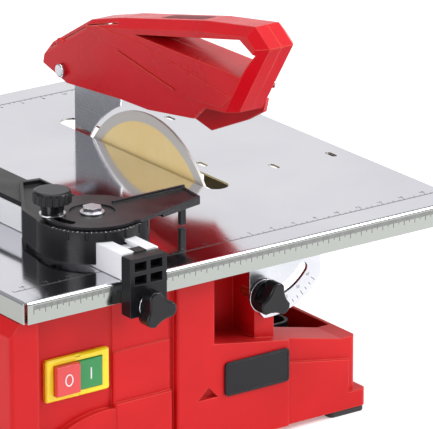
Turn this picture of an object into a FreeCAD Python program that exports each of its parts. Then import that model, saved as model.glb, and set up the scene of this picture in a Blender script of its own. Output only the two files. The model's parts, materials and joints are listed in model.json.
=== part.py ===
"""Table-top tile cutter: a red plastic housing with a tilting steel table, a wet diamond blade on a
direct-drive motor, a swinging blade guard, a cross fence with a mitre stop, and a two-button switch.

Millimetres. X runs to the right, Y to the back (the direction of the cut), Z up. The model is built
with x = y = 0 under the middle of the table and z = 0 on the bench, and is exported with its origin
at the middle of its footprint on the bench.
"""
import FreeCAD
import Part
import math
import os

V = FreeCAD.Vector
X_AXIS = V(1, 0, 0)
Y_AXIS = V(0, 1, 0)
Z_AXIS = V(0, 0, 1)

# ---- driving dimensions -------------------------------------------------------------------------
TABLE_WIDTH = 395.0          # along X
TABLE_DEPTH = 420.0          # along Y
TABLE_HEIGHT = 156.0         # top face above the bench
SHEET = 1.5                  # table sheet
RIM_DROP = 16.5              # how far the folded rim hangs down
RIM_BEND = 2.5               # outer bend radius of the fold
RIM_CORNER = 6.0             # rounding of the rim's lower corners

BLADE_DIAMETER = 180.0
BLADE_BORE = 25.4
BLADE_CORE = 1.6
BLADE_RIM = 2.2
BLADE_RIM_DEPTH = 8.0
BLADE_X = 59.0               # blade plane
BLADE_Y = 4.0
BLADE_RISE = 36.5            # how far the blade stands above the table

PIVOT_X = 31.0               # tilt axis of the table, along Y
PIVOT_DROP = 8.0             # tilt axis below the table's top face
TILT_MAX = 45.0              # full tilt of the table, degrees
QUADRANT_SHEET = 2.5
QUADRANT_INSET = 20.0        # quadrant's outer face, in from the table's edge
QUADRANT_RADIUS = 56.5
SLOT_RADIUS = 38.5           # arc slot of the quadrant, on its centre line
CLAMP_ANGLE = -9.5           # clamp screw, degrees from straight down under the pivot
SLOT_OVERRUN = 16.0          # how far the arc slot runs on past the full tilt, degrees
PIN_RADIUS = 3.0

WALL = 3.0                   # plastic walls of the housing
HOUSING_OUT = 7.5            # how far the housing's left shoulder stands out past the table
HOUSING_LEFT = -TABLE_WIDTH / 2 - HOUSING_OUT
HOUSING_RIGHT = 110.0
HOUSING_DEPTH = 384.0        # along Y
FOOT_HEIGHT = 5.0
DRY_TOP_DROP = 7.0           # top of the motor side, below the table's top face
DRY_EDGE = -23.0             # right face of the tall front column
PARTITION_X = 34.0           # wet face of the wall between motor and blade
CHAMBER_DEPTH = 320.0        # along Y, the motor chamber beside the quadrants
DECK_LEFT_Z = 84.0            # the deck slopes down from the tall column ...
DECK_MID_Z = 72.5            # ... past the end of the centre block ...
DECK_RIGHT_Z = 61.0          # ... to the right wall
PANEL_STEP = 5.0             # how far the centre block stands out of the front wall

SHAFT_RADIUS = 6.0
MOTOR_RADIUS = 41.0
MOTOR_LENGTH = 126.0

GUARD_WIDTH = 35.0
GUARD_WALL = 3.0
GUARD_CHAMFER = 7.0
GUARD_BOLT_Y = 95.0
GUARD_BOLT_RISE = 52.0       # above the table
GUARD_BOLT_RADIUS = 4.0
KNIFE_THICKNESS = 1.8

FENCE_X = -99.0              # middle of the fence rail
FENCE_WIDTH = 32.0
RAIL_HEIGHT = 19.7
RAIL_WALL = 2.0
BLOCK_RISE = 18.7            # top of the clamp blocks above the table
BLOCK_DROP = 25.8            # and their bottom edge below it
CLAMP_BLOCK_DEPTH = 10.7
STOP_X = -94.0               # swivel axis of the mitre stop
STOP_Y = -143.0
STOP_RADIUS = 41.5
BAR_REAR = 15.0              # rear end of the stop's guide bar
SWIVEL_MAX = 45.0

SWITCH_X = -143.5
SWITCH_Z = 86.0
SWITCH_WIDTH = 55.2
SWITCH_HEIGHT = 32.0

# ---- named clearances ---------------------------------------------------------------------------
RUN = 0.05                   # radial, a shaft or pin in its bore
GAP = 0.3                    # between faces that slide past each other

# ---- worked-out places --------------------------------------------------------------------------
UNDER_TABLE = TABLE_HEIGHT - SHEET
PIVOT_Z = TABLE_HEIGHT - PIVOT_DROP
ARBOR_Z = TABLE_HEIGHT + BLADE_RISE - BLADE_DIAMETER / 2
FRONT = -HOUSING_DEPTH / 2
CENTRE_FRONT = FRONT - PANEL_STEP
DRY_TOP = TABLE_HEIGHT - DRY_TOP_DROP
CHAMBER_FRONT = -CHAMBER_DEPTH / 2
QUADRANT_Y = -TABLE_DEPTH / 2 + QUADRANT_INSET
POST_FACE = QUADRANT_Y + QUADRANT_SHEET + GAP
BOLT_Z = TABLE_HEIGHT + GUARD_BOLT_RISE
GUARD_LEFT = BLADE_X - GUARD_WIDTH / 2
GUARD_RIGHT = BLADE_X + GUARD_WIDTH / 2
RAIL_BOTTOM = TABLE_HEIGHT + GAP
RAIL_TOP = RAIL_BOTTOM + RAIL_HEIGHT
RAIL_END = TABLE_DEPTH / 2
BLOCK_TOP = TABLE_HEIGHT + BLOCK_RISE


# ---- building blocks ----------------------------------------------------------------------------
def box(x0, x1, y0, y1, z0, z1):
    """Box between two corners."""
    return Part.makeBox(x1 - x0, y1 - y0, z1 - z0, V(x0, y0, z0))


def rod(radius, start, length, axis):
    """Cylinder that starts at a point and runs along an axis."""
    return Part.makeCylinder(radius, length, V(*start), axis)


def tube(outer, inner, start, length, axis):
    """Cylinder with a through bore."""
    return rod(outer, start, length, axis).cut(rod(inner, start, length, axis))


def prism_y(points, y0, y1):
    """Outline in X and Z, carried along Y."""
    corners = [V(x, y0, z) for x, z in points]
    face = Part.Face(Part.makePolygon(corners + corners[:1]))
    return face.extrude(V(0, y1 - y0, 0))


def prism_x(points, x0, x1):
    """Outline in Y and Z, carried along X."""
    corners = [V(x0, y, z) for y, z in points]
    face = Part.Face(Part.makePolygon(corners + corners[:1]))
    return face.extrude(V(x1 - x0, 0, 0))


def prism_z(points, z0, z1):
    """Outline in X and Y, carried along Z."""
    corners = [V(x, y, z0) for x, y in points]
    face = Part.Face(Part.makePolygon(corners + corners[:1]))
    return face.extrude(V(0, 0, z1 - z0))


def round_edges(shape, radius, chosen):
    """Fillet the edges that a test picks by their bounding box."""
    edges = [edge for edge in shape.Edges if chosen(edge.BoundBox)]
    return shape.makeFillet(radius, edges) if edges else shape


def along(bounds, axis):
    """True for a straight edge that runs along one axis only."""
    spans = {"x": bounds.XLength, "y": bounds.YLength, "z": bounds.ZLength}
    return spans.pop(axis) > 0.5 and max(spans.values()) < 1e-3


def rounded_box(x0, x1, y0, y1, z0, z1, radius, axis):
    """Box whose four edges along one axis are rounded."""
    return round_edges(box(x0, x1, y0, y1, z0, z1), radius, lambda b: along(b, axis))


def fused(shapes):
    """One solid from shapes that touch or overlap."""
    whole = shapes[0]
    for shape in shapes[1:]:
        whole = whole.fuse(shape)
    return whole.removeSplitter()


def front_and_rear(shape):
    """The shape and its mirror image across the middle of the table."""
    return [shape, shape.mirror(V(0, 0, 0), Y_AXIS)]


def polar(centre, radius, degrees):
    """Point at an angle from straight down, positive towards +X."""
    turn = math.radians(degrees)
    return centre[0] + radius * math.sin(turn), centre[1] - radius * math.cos(turn)


def hexagon(across_flats, start, length, axis):
    """Hexagonal bar that starts at a point and runs along an axis."""
    corner = across_flats / math.sqrt(3)
    points = [V(corner * math.cos(math.radians(60 * k)), corner * math.sin(math.radians(60 * k)), 0)
              for k in range(6)]
    bar = Part.Face(Part.makePolygon(points + points[:1])).extrude(V(0, 0, length))
    bar.Placement = FreeCAD.Placement(V(*start), FreeCAD.Rotation(Z_AXIS, axis))
    return bar


def pan_screw(start, axis, shank_radius, shank, head_radius, head):
    """Screw whose head starts at a point; the shank runs on along the axis."""
    lift = V(*start) - V(axis) * head
    top = Part.makeCylinder(head_radius, head, lift, axis)
    top = round_edges(top, head * 0.35, lambda b: b.Center.sub(lift).Length < 0.01)
    return fused([top, Part.makeCylinder(shank_radius, shank, V(*start), axis)])


# ---- table --------------------------------------------------------------------------------------
def rim_notches():
    """Vertical gaps at the four corners, where the folded rims don't meet."""
    gap = RIM_BEND
    notches = []
    for sx in (-1, 1):
        for sy in (-1, 1):
            x, y = sx * TABLE_WIDTH / 2, sy * TABLE_DEPTH / 2
            notches.append(box(min(x, x - sx * gap), max(x, x - sx * gap), min(y, y - sy * gap),
                               max(y, y - sy * gap), 0, TABLE_HEIGHT + 1))
    return notches


def slot_cut(x0, x1, y0, y1):
    """Through slot in the table, rounded at both ends."""
    radius = (x1 - x0) / 2
    return rounded_box(x0, x1, y0, y1, UNDER_TABLE - 1, TABLE_HEIGHT + 1, radius * 0.98, "z")


BLADE_SLOT = (55.0, 74.5, -85.0, 126.0)
SMALL_SLOTS = [(85.7, -28.4), (132.0, 79.5), (127.3, -64.4), (180.0, -66.8)]


def make_table():
    """Sheet with a rim folded down all round, the blade slot and four small slots."""
    hx, hy = TABLE_WIDTH / 2, TABLE_DEPTH / 2
    low = TABLE_HEIGHT - RIM_DROP
    outer = box(-hx, hx, -hy, hy, low, TABLE_HEIGHT)
    outer = round_edges(outer, RIM_BEND, lambda b: b.ZMin > TABLE_HEIGHT - 0.01)
    inner = box(-hx + SHEET, hx - SHEET, -hy + SHEET, hy - SHEET, low - 1, UNDER_TABLE)
    inner = round_edges(inner, RIM_BEND - SHEET, lambda b: b.ZMin > UNDER_TABLE - 0.01)
    sheet = outer.cut(inner)
    for notch in rim_notches():
        sheet = sheet.cut(notch)
    sheet = round_edges(sheet, RIM_CORNER, lambda b: b.ZMax < low + 0.01 and b.DiagonalLength < 0.01)
    sheet = sheet.cut(slot_cut(*BLADE_SLOT))
    for x, y in SMALL_SLOTS:
        sheet = sheet.cut(slot_cut(x - 2.2, x + 2.2, y - 6.0, y + 6.0))
    return sheet


def arc_slot(centre, radius, half_width, start, end, y0, y1):
    """Slot that follows an arc in the XZ plane, cut along Y."""
    def point(r, degrees):
        x, z = polar(centre, r, degrees)
        return V(x, y0, z)
    middle = (start + end) / 2
    inner, outer = radius - half_width, radius + half_width
    past = math.degrees(half_width / radius)
    edges = [Part.Arc(point(outer, start), point(outer, middle), point(outer, end)).toShape(),
             Part.Arc(point(outer, end), point(radius, end + past), point(inner, end)).toShape(),
             Part.Arc(point(inner, end), point(inner, middle), point(inner, start)).toShape(),
             Part.Arc(point(inner, start), point(radius, start - past), point(outer, start)).toShape()]
    return Part.Face(Part.Wire(edges)).extrude(V(0, y1 - y0, 0))


CLAMP_SCREW_RADIUS = 4.0


def make_quadrant():
    """Front tilt plate: hangs under the table, turns on the pivot, slides past the clamp screw."""
    y0, y1 = QUADRANT_Y, QUADRANT_Y + QUADRANT_SHEET
    left, right = PIVOT_X - 18.0, PIVOT_X + 46.5
    outline = [(left, UNDER_TABLE), (left, PIVOT_Z - 40), (left + 13, PIVOT_Z - 56),
               (PIVOT_X, PIVOT_Z - QUADRANT_RADIUS - 1), (right, PIVOT_Z - QUADRANT_RADIUS - 1),
               (right, UNDER_TABLE)]
    plate = prism_y(outline, y0, y1).common(
        rod(QUADRANT_RADIUS, (PIVOT_X, y0, PIVOT_Z), QUADRANT_SHEET, Y_AXIS))
    plate = plate.cut(arc_slot((PIVOT_X, PIVOT_Z), SLOT_RADIUS, CLAMP_SCREW_RADIUS + GAP,
                               CLAMP_ANGLE - 1, CLAMP_ANGLE + TILT_MAX + SLOT_OVERRUN, y0 - 1, y1 + 1))
    plate = plate.cut(rod(PIN_RADIUS, (PIVOT_X, y0 - 1, PIVOT_Z), QUADRANT_SHEET + 2, Y_AXIS))
    lower = UNDER_TABLE - QUADRANT_SHEET
    tabs = [box(left, left + 10, y0 - 13, y0 + 1, lower, UNDER_TABLE),
            box(PIVOT_X + 10, right, y0 - 13, y0 + 1, lower, UNDER_TABLE)]
    return fused([plate] + tabs)


PIN_HEAD = 2.0
BUSH_WALL = 1.2
POST_ROUND = 5.8
BUSH_LENGTH = 14.0


def make_pivot_pin():
    """Pin riveted into the front quadrant; it turns in the bush of the front post."""
    grip = QUADRANT_SHEET + GAP + BUSH_LENGTH + 3.0
    head = rod(PIN_RADIUS + 1.6, (PIVOT_X, QUADRANT_Y - PIN_HEAD, PIVOT_Z), PIN_HEAD, Y_AXIS)
    return fused([head, rod(PIN_RADIUS, (PIVOT_X, QUADRANT_Y, PIVOT_Z), grip, Y_AXIS)])


# ---- housing ------------------------------------------------------------------------------------
def side_outline():
    """Front view of the housing: tall motor side on the left, low wet side on the right."""
    rim = TABLE_WIDTH / 2
    rim_low = TABLE_HEIGHT - RIM_DROP - 1.0
    return [(HOUSING_LEFT, FOOT_HEIGHT), (HOUSING_RIGHT, FOOT_HEIGHT), (HOUSING_RIGHT, DECK_RIGHT_Z),
            (HOUSING_RIGHT - 14, DECK_RIGHT_Z), (CENTRE_RIGHT, DECK_MID_Z), (DRY_EDGE, DECK_LEFT_Z),
            (DRY_EDGE, DRY_TOP), (-rim + 7.5, DRY_TOP), (-rim + 6, rim_low), (-rim, rim_low),
            (HOUSING_LEFT, rim_low - (-HOUSING_LEFT - rim) * 1.3)]


def inset_outline():
    """The same outline, one wall further in."""
    corners = [V(x, 0, z) for x, z in side_outline()]
    face = Part.Face(Part.makePolygon(corners + corners[:1]))
    inner = face.makeOffset2D(-WALL)
    return [(v.X, v.Z) for v in inner.OuterWire.OrderedVertexes]


def post_outline():
    """Upright that carries the table's pivot and the tilt clamp screw."""
    left, right = PIVOT_X - 11.5, PIVOT_X + POST_ROUND
    round_top = [(PIVOT_X + POST_ROUND * math.cos(math.radians(a)),
                  PIVOT_Z + POST_ROUND * math.sin(math.radians(a))) for a in range(0, 121, 15)]
    return [(left, DECK_MID_Z - 15), (right, DECK_MID_Z - 15)] + round_top + [(left, PIVOT_Z - 4)]


FOOT_SIZE = 34.0
FOOT_OUT = 8.0              # how far the right feet stand out of the wall
FOOT_PLATE = 13.0


def foot_places():
    """Outer corner and inward direction of each of the four feet."""
    y = HOUSING_DEPTH / 2 + 3.0
    return [(x, sy * y, -1 if x > 0 else 1, -sy)
            for x in (HOUSING_LEFT - 1.0, HOUSING_RIGHT + FOOT_OUT) for sy in (-1, 1)]


def foot_box(x, y, dx, dy, margin, z0, z1, radius):
    """Rounded block at a foot, in from its outer corner by a margin."""
    xs = sorted((x + dx * margin, x + dx * (FOOT_SIZE - margin)))
    ys = sorted((y + dy * margin, y + dy * (FOOT_SIZE - margin)))
    return rounded_box(xs[0], xs[1], ys[0], ys[1], z0, z1, radius, "z")


def foot_centre(x, y, dx, dy):
    """Middle of a foot in plan."""
    return x + dx * FOOT_SIZE / 2, y + dy * FOOT_SIZE / 2


MOTOR_NOSE = 20.0
TUB = (46.0, 99.0, -128.0, 128.0, FOOT_HEIGHT + WALL, 56.0)
TUB_WALL = 2.5
DRAIN_Y, DRAIN_Z = 96.0, 20.0
SPIGOT_RADIUS = 9.0
PLUG_RADIUS = 6.0
GLAND_X, GLAND_Z, GLAND_RADIUS = -150.0, 42.0, 8.0
CENTRE_LEFT, CENTRE_RIGHT = -57.0, 45.0
PANEL_LEFT, PANEL_RIGHT = -112.0, -62.0
PANEL_LEDGES = [(1.5, 150.0), (3.0, 96.0), (6.0, 57.0)]    # how far each stands out, and its top
COLUMN_RIGHT = -180.0
COLUMN_STEP = 10.5
RECESS = [(-39.0, 42.5), (-29.0, 51.5), (-20.5, 42.5)]
LEDGES = [(3.0, 39.0), (5.5, 17.0)]                        # skirts of the right wall: reach and top
POCKET = (SWITCH_WIDTH - 9.0, SWITCH_HEIGHT - 5.0)


def stood_out(outline, reach):
    """An outline raised from the front wall, with its upright outer edges rounded."""
    block = prism_y(outline, FRONT - reach, FRONT + WALL)
    return round_edges(block, min(2.0, reach / 2), lambda b: along(b, "z") and b.YMax < FRONT - reach + 0.01)


def corner_column():
    """Front left corner of the housing, which stands out and carries the bevel up under the rim."""
    body = prism_y(side_outline(), FRONT - COLUMN_STEP, FRONT + WALL)
    column = body.common(box(HOUSING_LEFT, COLUMN_RIGHT, FRONT - COLUMN_STEP, FRONT + WALL, 0,
                             TABLE_HEIGHT - RIM_DROP - 1))
    return round_edges(column, 3.0, lambda b: along(b, "z") and b.YMax < FRONT)


def skirt_arch(reach):
    """Raised foot of the front wall left of the groove, with an arched top edge."""
    left, right, low, high = COLUMN_RIGHT, PANEL_LEFT, 30.0, 54.0
    arch = Part.Arc(V(left, 0, low), V((left + right) / 2, 0, high - 4), V(right, 0, high)).toShape()
    corners = [V(right, 0, high), V(right, 0, FOOT_HEIGHT), V(left, 0, FOOT_HEIGHT), V(left, 0, low)]
    wire = Part.Wire([arch] + Part.makePolygon(corners).Edges)
    block = Part.Face(wire).extrude(V(0, reach + WALL, 0))
    block.translate(V(0, FRONT - reach, 0))
    return block


def housing_outside():
    """All the red plastic before it is hollowed."""
    body = prism_y(side_outline(), FRONT, -FRONT)
    body = round_edges(body, 5.0, lambda b: along(b, "z") and b.XMin > HOUSING_RIGHT - 1)
    chamber = box(DRY_EDGE - 5, PARTITION_X, CHAMBER_FRONT, -CHAMBER_FRONT, FOOT_HEIGHT, DRY_TOP)
    centre = [(CENTRE_LEFT, FOOT_HEIGHT), (CENTRE_RIGHT, FOOT_HEIGHT), (CENTRE_RIGHT, DECK_MID_Z),
              (DRY_EDGE, DECK_LEFT_Z), (DRY_EDGE, DRY_TOP), (CENTRE_LEFT, DRY_TOP)]
    parts = [body, chamber, stood_out(centre, PANEL_STEP), corner_column(), skirt_arch(PANEL_STEP)]
    for reach, top in PANEL_LEDGES:
        top = min(top, DRY_TOP)
        panel = [(PANEL_LEFT, FOOT_HEIGHT), (PANEL_RIGHT, FOOT_HEIGHT), (PANEL_RIGHT, top), (PANEL_LEFT, top)]
        parts.append(stood_out(panel, reach))
    right_foot = [(CENTRE_RIGHT - 1, FOOT_HEIGHT), (HOUSING_RIGHT - 8, FOOT_HEIGHT), (HOUSING_RIGHT - 8, 44),
                  (CENTRE_RIGHT - 1, 54)]
    parts.append(stood_out(right_foot, PANEL_STEP - 2))
    for reach, top in LEDGES:
        parts.append(box(HOUSING_RIGHT - 1, HOUSING_RIGHT + reach, FRONT + 8, -FRONT - 8, FOOT_HEIGHT, top))
    parts.append(box(HOUSING_LEFT - 1, HOUSING_LEFT + 1, FRONT + 8, -FRONT - 8, FOOT_HEIGHT, 62))
    parts += front_and_rear(prism_y(post_outline(), POST_FACE, CHAMBER_FRONT + 1))
    parts += [foot_box(x, y, dx, dy, 0, FOOT_HEIGHT, FOOT_HEIGHT + FOOT_PLATE, 5.0)
              for x, y, dx, dy in foot_places()]
    return fused(parts)


def housing_inside():
    """The two chambers: motor and switch on the left, tub on the right."""
    main = prism_y(inset_outline(), FRONT + WALL, -FRONT - WALL)
    middle = box(DRY_EDGE - 10, PARTITION_X - WALL, CHAMBER_FRONT + WALL, -CHAMBER_FRONT - WALL,
                 FOOT_HEIGHT + WALL, DRY_TOP - WALL)
    lid = box(-TABLE_WIDTH / 2 + 12, PARTITION_X - WALL, CHAMBER_FRONT + WALL, -CHAMBER_FRONT - WALL,
              DRY_TOP - WALL - 1, DRY_TOP + 1)
    mouth = box(PARTITION_X + 9, HOUSING_RIGHT - WALL, CHAMBER_FRONT - 2, -CHAMBER_FRONT + 2,
                FOOT_HEIGHT + 20, DECK_LEFT_Z)
    return [main, middle, lid, mouth]


def make_housing():
    """Hollow housing with its partition, posts, openings and screw holes."""
    shell = housing_outside()
    for hollow in housing_inside():
        shell = shell.cut(hollow)
    partition = box(PARTITION_X - WALL, PARTITION_X, CHAMBER_FRONT + 1, -CHAMBER_FRONT - 1,
                    FOOT_HEIGHT + 1, DRY_TOP - 1)
    shell = fused([shell, partition])
    cuts = [rod(MOTOR_NOSE + GAP, (0, BLADE_Y, ARBOR_Z), PARTITION_X + 1, X_AXIS),
            rod(SPIGOT_RADIUS + GAP, (HOUSING_RIGHT - 6, DRAIN_Y, DRAIN_Z), 20, X_AXIS),
            rod(GLAND_RADIUS, (GLAND_X, -FRONT - 5, GLAND_Z), 10, Y_AXIS),
            box(SWITCH_X - POCKET[0] / 2, SWITCH_X + POCKET[0] / 2, FRONT - 1, FRONT + WALL + 1,
                SWITCH_Z - POCKET[1] / 2, SWITCH_Z + POCKET[1] / 2),
            prism_y(RECESS, CENTRE_FRONT - 1, CENTRE_FRONT + 4)]
    cuts += [rod(MOTOR_SCREW, (0, y, z), PARTITION_X + 1, X_AXIS) for y, z in motor_screw_places()]
    for front in (clamp_insert_hole(), bush_hole()):
        cuts += front_and_rear(front)
    cuts += [rod(2.0, (x, y, DRY_TOP - 9), 10, Z_AXIS) for x, y in cover_screw_places()]
    cuts += [rod(2.5, foot_centre(*foot) + (FOOT_HEIGHT - 1,), FOOT_PLATE - 2, Z_AXIS)
             for foot in foot_places()]
    for cut in cuts:
        shell = shell.cut(cut)
    return shell


MOTOR_SCREW = 2.5
MOTOR_SCREW_CIRCLE = 32.0


def motor_screw_places():
    """Four screws on a circle around the arbor."""
    return [(BLADE_Y + MOTOR_SCREW_CIRCLE * math.cos(math.radians(a)),
             ARBOR_Z + MOTOR_SCREW_CIRCLE * math.sin(math.radians(a))) for a in (45, 135, 225, 315)]


def cover_screw_places():
    """Four screws at the corners of the motor cover."""
    return [(x, sy * (CHAMBER_DEPTH / 2 + 2)) for x in (-150.0, -45.0) for sy in (-1, 1)]


INSERT_RADIUS = 6.0
INSERT_LENGTH = 16.0


def clamp_place():
    """X and Z of the tilt clamp screws."""
    return polar((PIVOT_X, PIVOT_Z), SLOT_RADIUS, CLAMP_ANGLE)


def clamp_insert_hole():
    """Pocket for the threaded insert in the front post."""
    x, z = clamp_place()
    return rod(INSERT_RADIUS, (x, POST_FACE - 1, z), INSERT_LENGTH + 1, Y_AXIS)


def bush_hole():
    """Bore for the pivot bush, and the room behind it for the pin's end."""
    wide = rod(PIN_RADIUS + 2.4, (PIVOT_X, POST_FACE + BUSH_LENGTH, PIVOT_Z), 8, Y_AXIS)
    return fused([rod(PIN_RADIUS + BUSH_WALL, (PIVOT_X, POST_FACE - 1, PIVOT_Z), BUSH_LENGTH + 2, Y_AXIS),
                  wide])


def make_clamp_insert():
    """Threaded insert that the front tilt clamp screw turns in."""
    x, z = clamp_place()
    return tube(INSERT_RADIUS, CLAMP_SCREW_RADIUS + RUN, (x, POST_FACE, z), INSERT_LENGTH, Y_AXIS)


def make_pivot_bush():
    """Plain bearing of the front pivot pin."""
    return tube(PIN_RADIUS + BUSH_WALL, PIN_RADIUS + RUN, (PIVOT_X, POST_FACE, PIVOT_Z), BUSH_LENGTH, Y_AXIS)


def make_motor_cover():
    """Lid over the motor side, under the table."""
    x0, x1 = -TABLE_WIDTH / 2 + 9, PARTITION_X - WALL
    lid = rounded_box(x0, x1, CHAMBER_FRONT - 6, -CHAMBER_FRONT + 6, DRY_TOP, DRY_TOP + 2.5, 4.0, "z")
    lip = box(x0 + 4, x1 - 1, CHAMBER_FRONT + WALL + GAP, -CHAMBER_FRONT - WALL - GAP, DRY_TOP - 2, DRY_TOP)
    lid = fused([lid, lip])
    for y in (CHAMBER_FRONT - 8, -CHAMBER_FRONT - 2):
        lid = lid.cut(box(PIVOT_X - POST_ROUND - 1, x1 + 1, y, y + 10, DRY_TOP - 3, DRY_TOP + 3))
    for x, y in cover_screw_places():
        lid = lid.cut(rod(2.2, (x, y, DRY_TOP - 1), 6, Z_AXIS))
    ribs = [box(x0 + 20, x1 - 12, y - 1.5, y + 1.5, DRY_TOP - 2, DRY_TOP) for y in (-80, 80)]
    return fused([lid] + ribs)


def make_cover_screws():
    """Flat screws that hold the motor cover."""
    screws = []
    for x, y in cover_screw_places():
        screws.append(pan_screw((x, y, DRY_TOP + 2.5), V(0, 0, -1), 2.0, 9.0, 3.8, 1.4))
    return screws


def make_tub():
    """Water tub around the lower half of the blade, with a drain spigot."""
    x0, x1, y0, y1, z0, z1 = TUB
    outside = rounded_box(x0, x1, y0, y1, z0, z1, 10.0, "z")
    inside = rounded_box(x0 + TUB_WALL, x1 - TUB_WALL, y0 + TUB_WALL, y1 - TUB_WALL, z0 + TUB_WALL,
                         z1 + 1, 8.0, "z")
    spigot = rod(SPIGOT_RADIUS, (x1 - TUB_WALL, DRAIN_Y, DRAIN_Z), HOUSING_RIGHT + 6 - x1 + TUB_WALL, X_AXIS)
    tub = fused([outside.cut(inside), spigot])
    return tub.cut(rod(PLUG_RADIUS, (x1 - TUB_WALL - 1, DRAIN_Y, DRAIN_Z), 40, X_AXIS))


def make_drain_plug():
    """Stopper with a pull tab, in the drain spigot."""
    face = HOUSING_RIGHT + 6 + GAP
    stem = rod(PLUG_RADIUS - RUN, (face - 9, DRAIN_Y, DRAIN_Z), 10, X_AXIS)
    head = round_edges(rod(SPIGOT_RADIUS, (face, DRAIN_Y, DRAIN_Z), 3.5, X_AXIS), 1.0,
                       lambda b: b.XMin > face + 3)
    tab = box(face + 3, face + 11, DRAIN_Y - 1.5, DRAIN_Y + 1.5, DRAIN_Z - 6, DRAIN_Z + 6)
    return fused([stem, head, round_edges(tab, 1.0, lambda b: along(b, "x"))])


def make_feet():
    """Rubber pads under the four corners."""
    pads = []
    for foot in foot_places():
        pad = foot_box(*foot, 1.0, 0, FOOT_HEIGHT, 4.0)
        pad = round_edges(pad, 1.2, lambda b: b.ZMax < 0.01)
        x, y = foot_centre(*foot)
        pads.append(pad.cut(rod(4.2, (x, y, -1), 3.2, Z_AXIS)).cut(rod(2.5, (x, y, 0), 8, Z_AXIS)))
    return pads


def make_foot_screws():
    """Screws that hold the pads, sunk into them from below."""
    return [pan_screw(foot_centre(*foot) + (2.2,), Z_AXIS, 2.5, FOOT_PLATE - 0.5, 4.0, 1.6)
            for foot in foot_places()]


def make_gland():
    """Mains cable inlet in the rear wall."""
    wall = -FRONT
    body = rod(GLAND_RADIUS, (GLAND_X, wall - WALL - 6, GLAND_Z), WALL + 6, Y_AXIS)
    collar = rod(GLAND_RADIUS + 3, (GLAND_X, wall, GLAND_Z), 4, Y_AXIS)
    nose = Part.makeCone(GLAND_RADIUS, GLAND_RADIUS - 2.5, 14, V(GLAND_X, wall + 4, GLAND_Z), Y_AXIS)
    return fused([body, collar, nose]).cut(rod(3.8, (GLAND_X, wall - 20, GLAND_Z), 60, Y_AXIS))


# ---- label, switch ------------------------------------------------------------------------------
LABEL = (-15.0, 43.0, 41.5, 67.5)
LABEL_THICKNESS = 1.8


def make_label():
    """Blank rating plate on the centre block."""
    x0, x1, z0, z1 = LABEL
    return rounded_box(x0, x1, CENTRE_FRONT - LABEL_THICKNESS, CENTRE_FRONT, z0, z1, 3.0, "y")


PLATE_DEPTH = 4.0
BUTTON_WIDTH = 20.4
BUTTON_HEIGHT = 22.6
BUTTON_GAP = 0.8
STOP_PROUD = 6.5
START_PROUD = 3.2
BUTTON_TRAVEL = 3.0
BUTTON_DEPTH = 12.0


def button_window():
    """Window of the switch that both buttons slide in."""
    return (SWITCH_X - BUTTON_WIDTH - BUTTON_GAP / 2 - GAP, SWITCH_X + BUTTON_WIDTH + BUTTON_GAP / 2 + GAP,
            SWITCH_Z - BUTTON_HEIGHT / 2 - GAP, SWITCH_Z + BUTTON_HEIGHT / 2 + GAP)


def make_switch_plate():
    """Yellow frame around the two buttons, with a notch at top and bottom."""
    half_w, half_h = SWITCH_WIDTH / 2, SWITCH_HEIGHT / 2
    frame = box(SWITCH_X - half_w, SWITCH_X + half_w, FRONT - PLATE_DEPTH, FRONT, SWITCH_Z - half_h,
                SWITCH_Z + half_h)
    frame = round_edges(frame, 2.0, lambda b: along(b, "y"))
    frame = frame.makeChamfer(1.2, [e for e in frame.Edges if e.BoundBox.YMax < FRONT - PLATE_DEPTH + 0.01])
    x0, x1, z0, z1 = button_window()
    frame = frame.cut(box(x0, x1, FRONT - PLATE_DEPTH - 1, FRONT + 1, z0, z1))
    for z in (SWITCH_Z - half_h, SWITCH_Z + half_h):
        frame = frame.cut(box(SWITCH_X - 2.0, SWITCH_X + 2.0, FRONT - PLATE_DEPTH - 1, FRONT - PLATE_DEPTH + 1.2,
                              z - 2.0, z + 2.0))
    return frame


def make_switch_body():
    """Black contact block behind the frame, with the pocket that guides the buttons."""
    half_w, half_h = POCKET[0] / 2 - GAP, POCKET[1] / 2 - GAP
    block = box(SWITCH_X - half_w, SWITCH_X + half_w, FRONT, FRONT + 42, SWITCH_Z - half_h, SWITCH_Z + half_h)
    x0, x1, z0, z1 = button_window()
    block = block.cut(box(x0, x1, FRONT - 1, FRONT + BUTTON_DEPTH + BUTTON_TRAVEL, z0, z1))
    pins = [box(SWITCH_X + dx - 3, SWITCH_X + dx + 3, FRONT + 42, FRONT + 50, SWITCH_Z - 0.5, SWITCH_Z + 0.5)
            for dx in (-14, -5, 5, 14)]
    return fused([block] + pins)


def make_button(side, proud):
    """Push button on one side of the switch, standing proud of the housing wall."""
    middle = SWITCH_X + side * (BUTTON_WIDTH + BUTTON_GAP) / 2
    face = FRONT - proud - PLATE_DEPTH / 2
    key = box(middle - BUTTON_WIDTH / 2, middle + BUTTON_WIDTH / 2, face, FRONT + BUTTON_DEPTH - GAP,
              SWITCH_Z - BUTTON_HEIGHT / 2, SWITCH_Z + BUTTON_HEIGHT / 2)
    return round_edges(key, 1.0, lambda b: b.YMax < face + 0.01)


# ---- motor, arbor and blade ---------------------------------------------------------------------
MOTOR_FACE = PARTITION_X - WALL
MOTOR_REAR = MOTOR_FACE - MOTOR_LENGTH
CAN_WALL = 3.0
STATOR_BORE = 24.5
BEARING_OUTER = 14.0
BEARING_WIDTH = 8.0
NOSE_LENGTH = 11.0
SHIELD = 8.0


def on_arbor(x):
    """Point on the arbor's axis."""
    return x, BLADE_Y, ARBOR_Z


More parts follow.
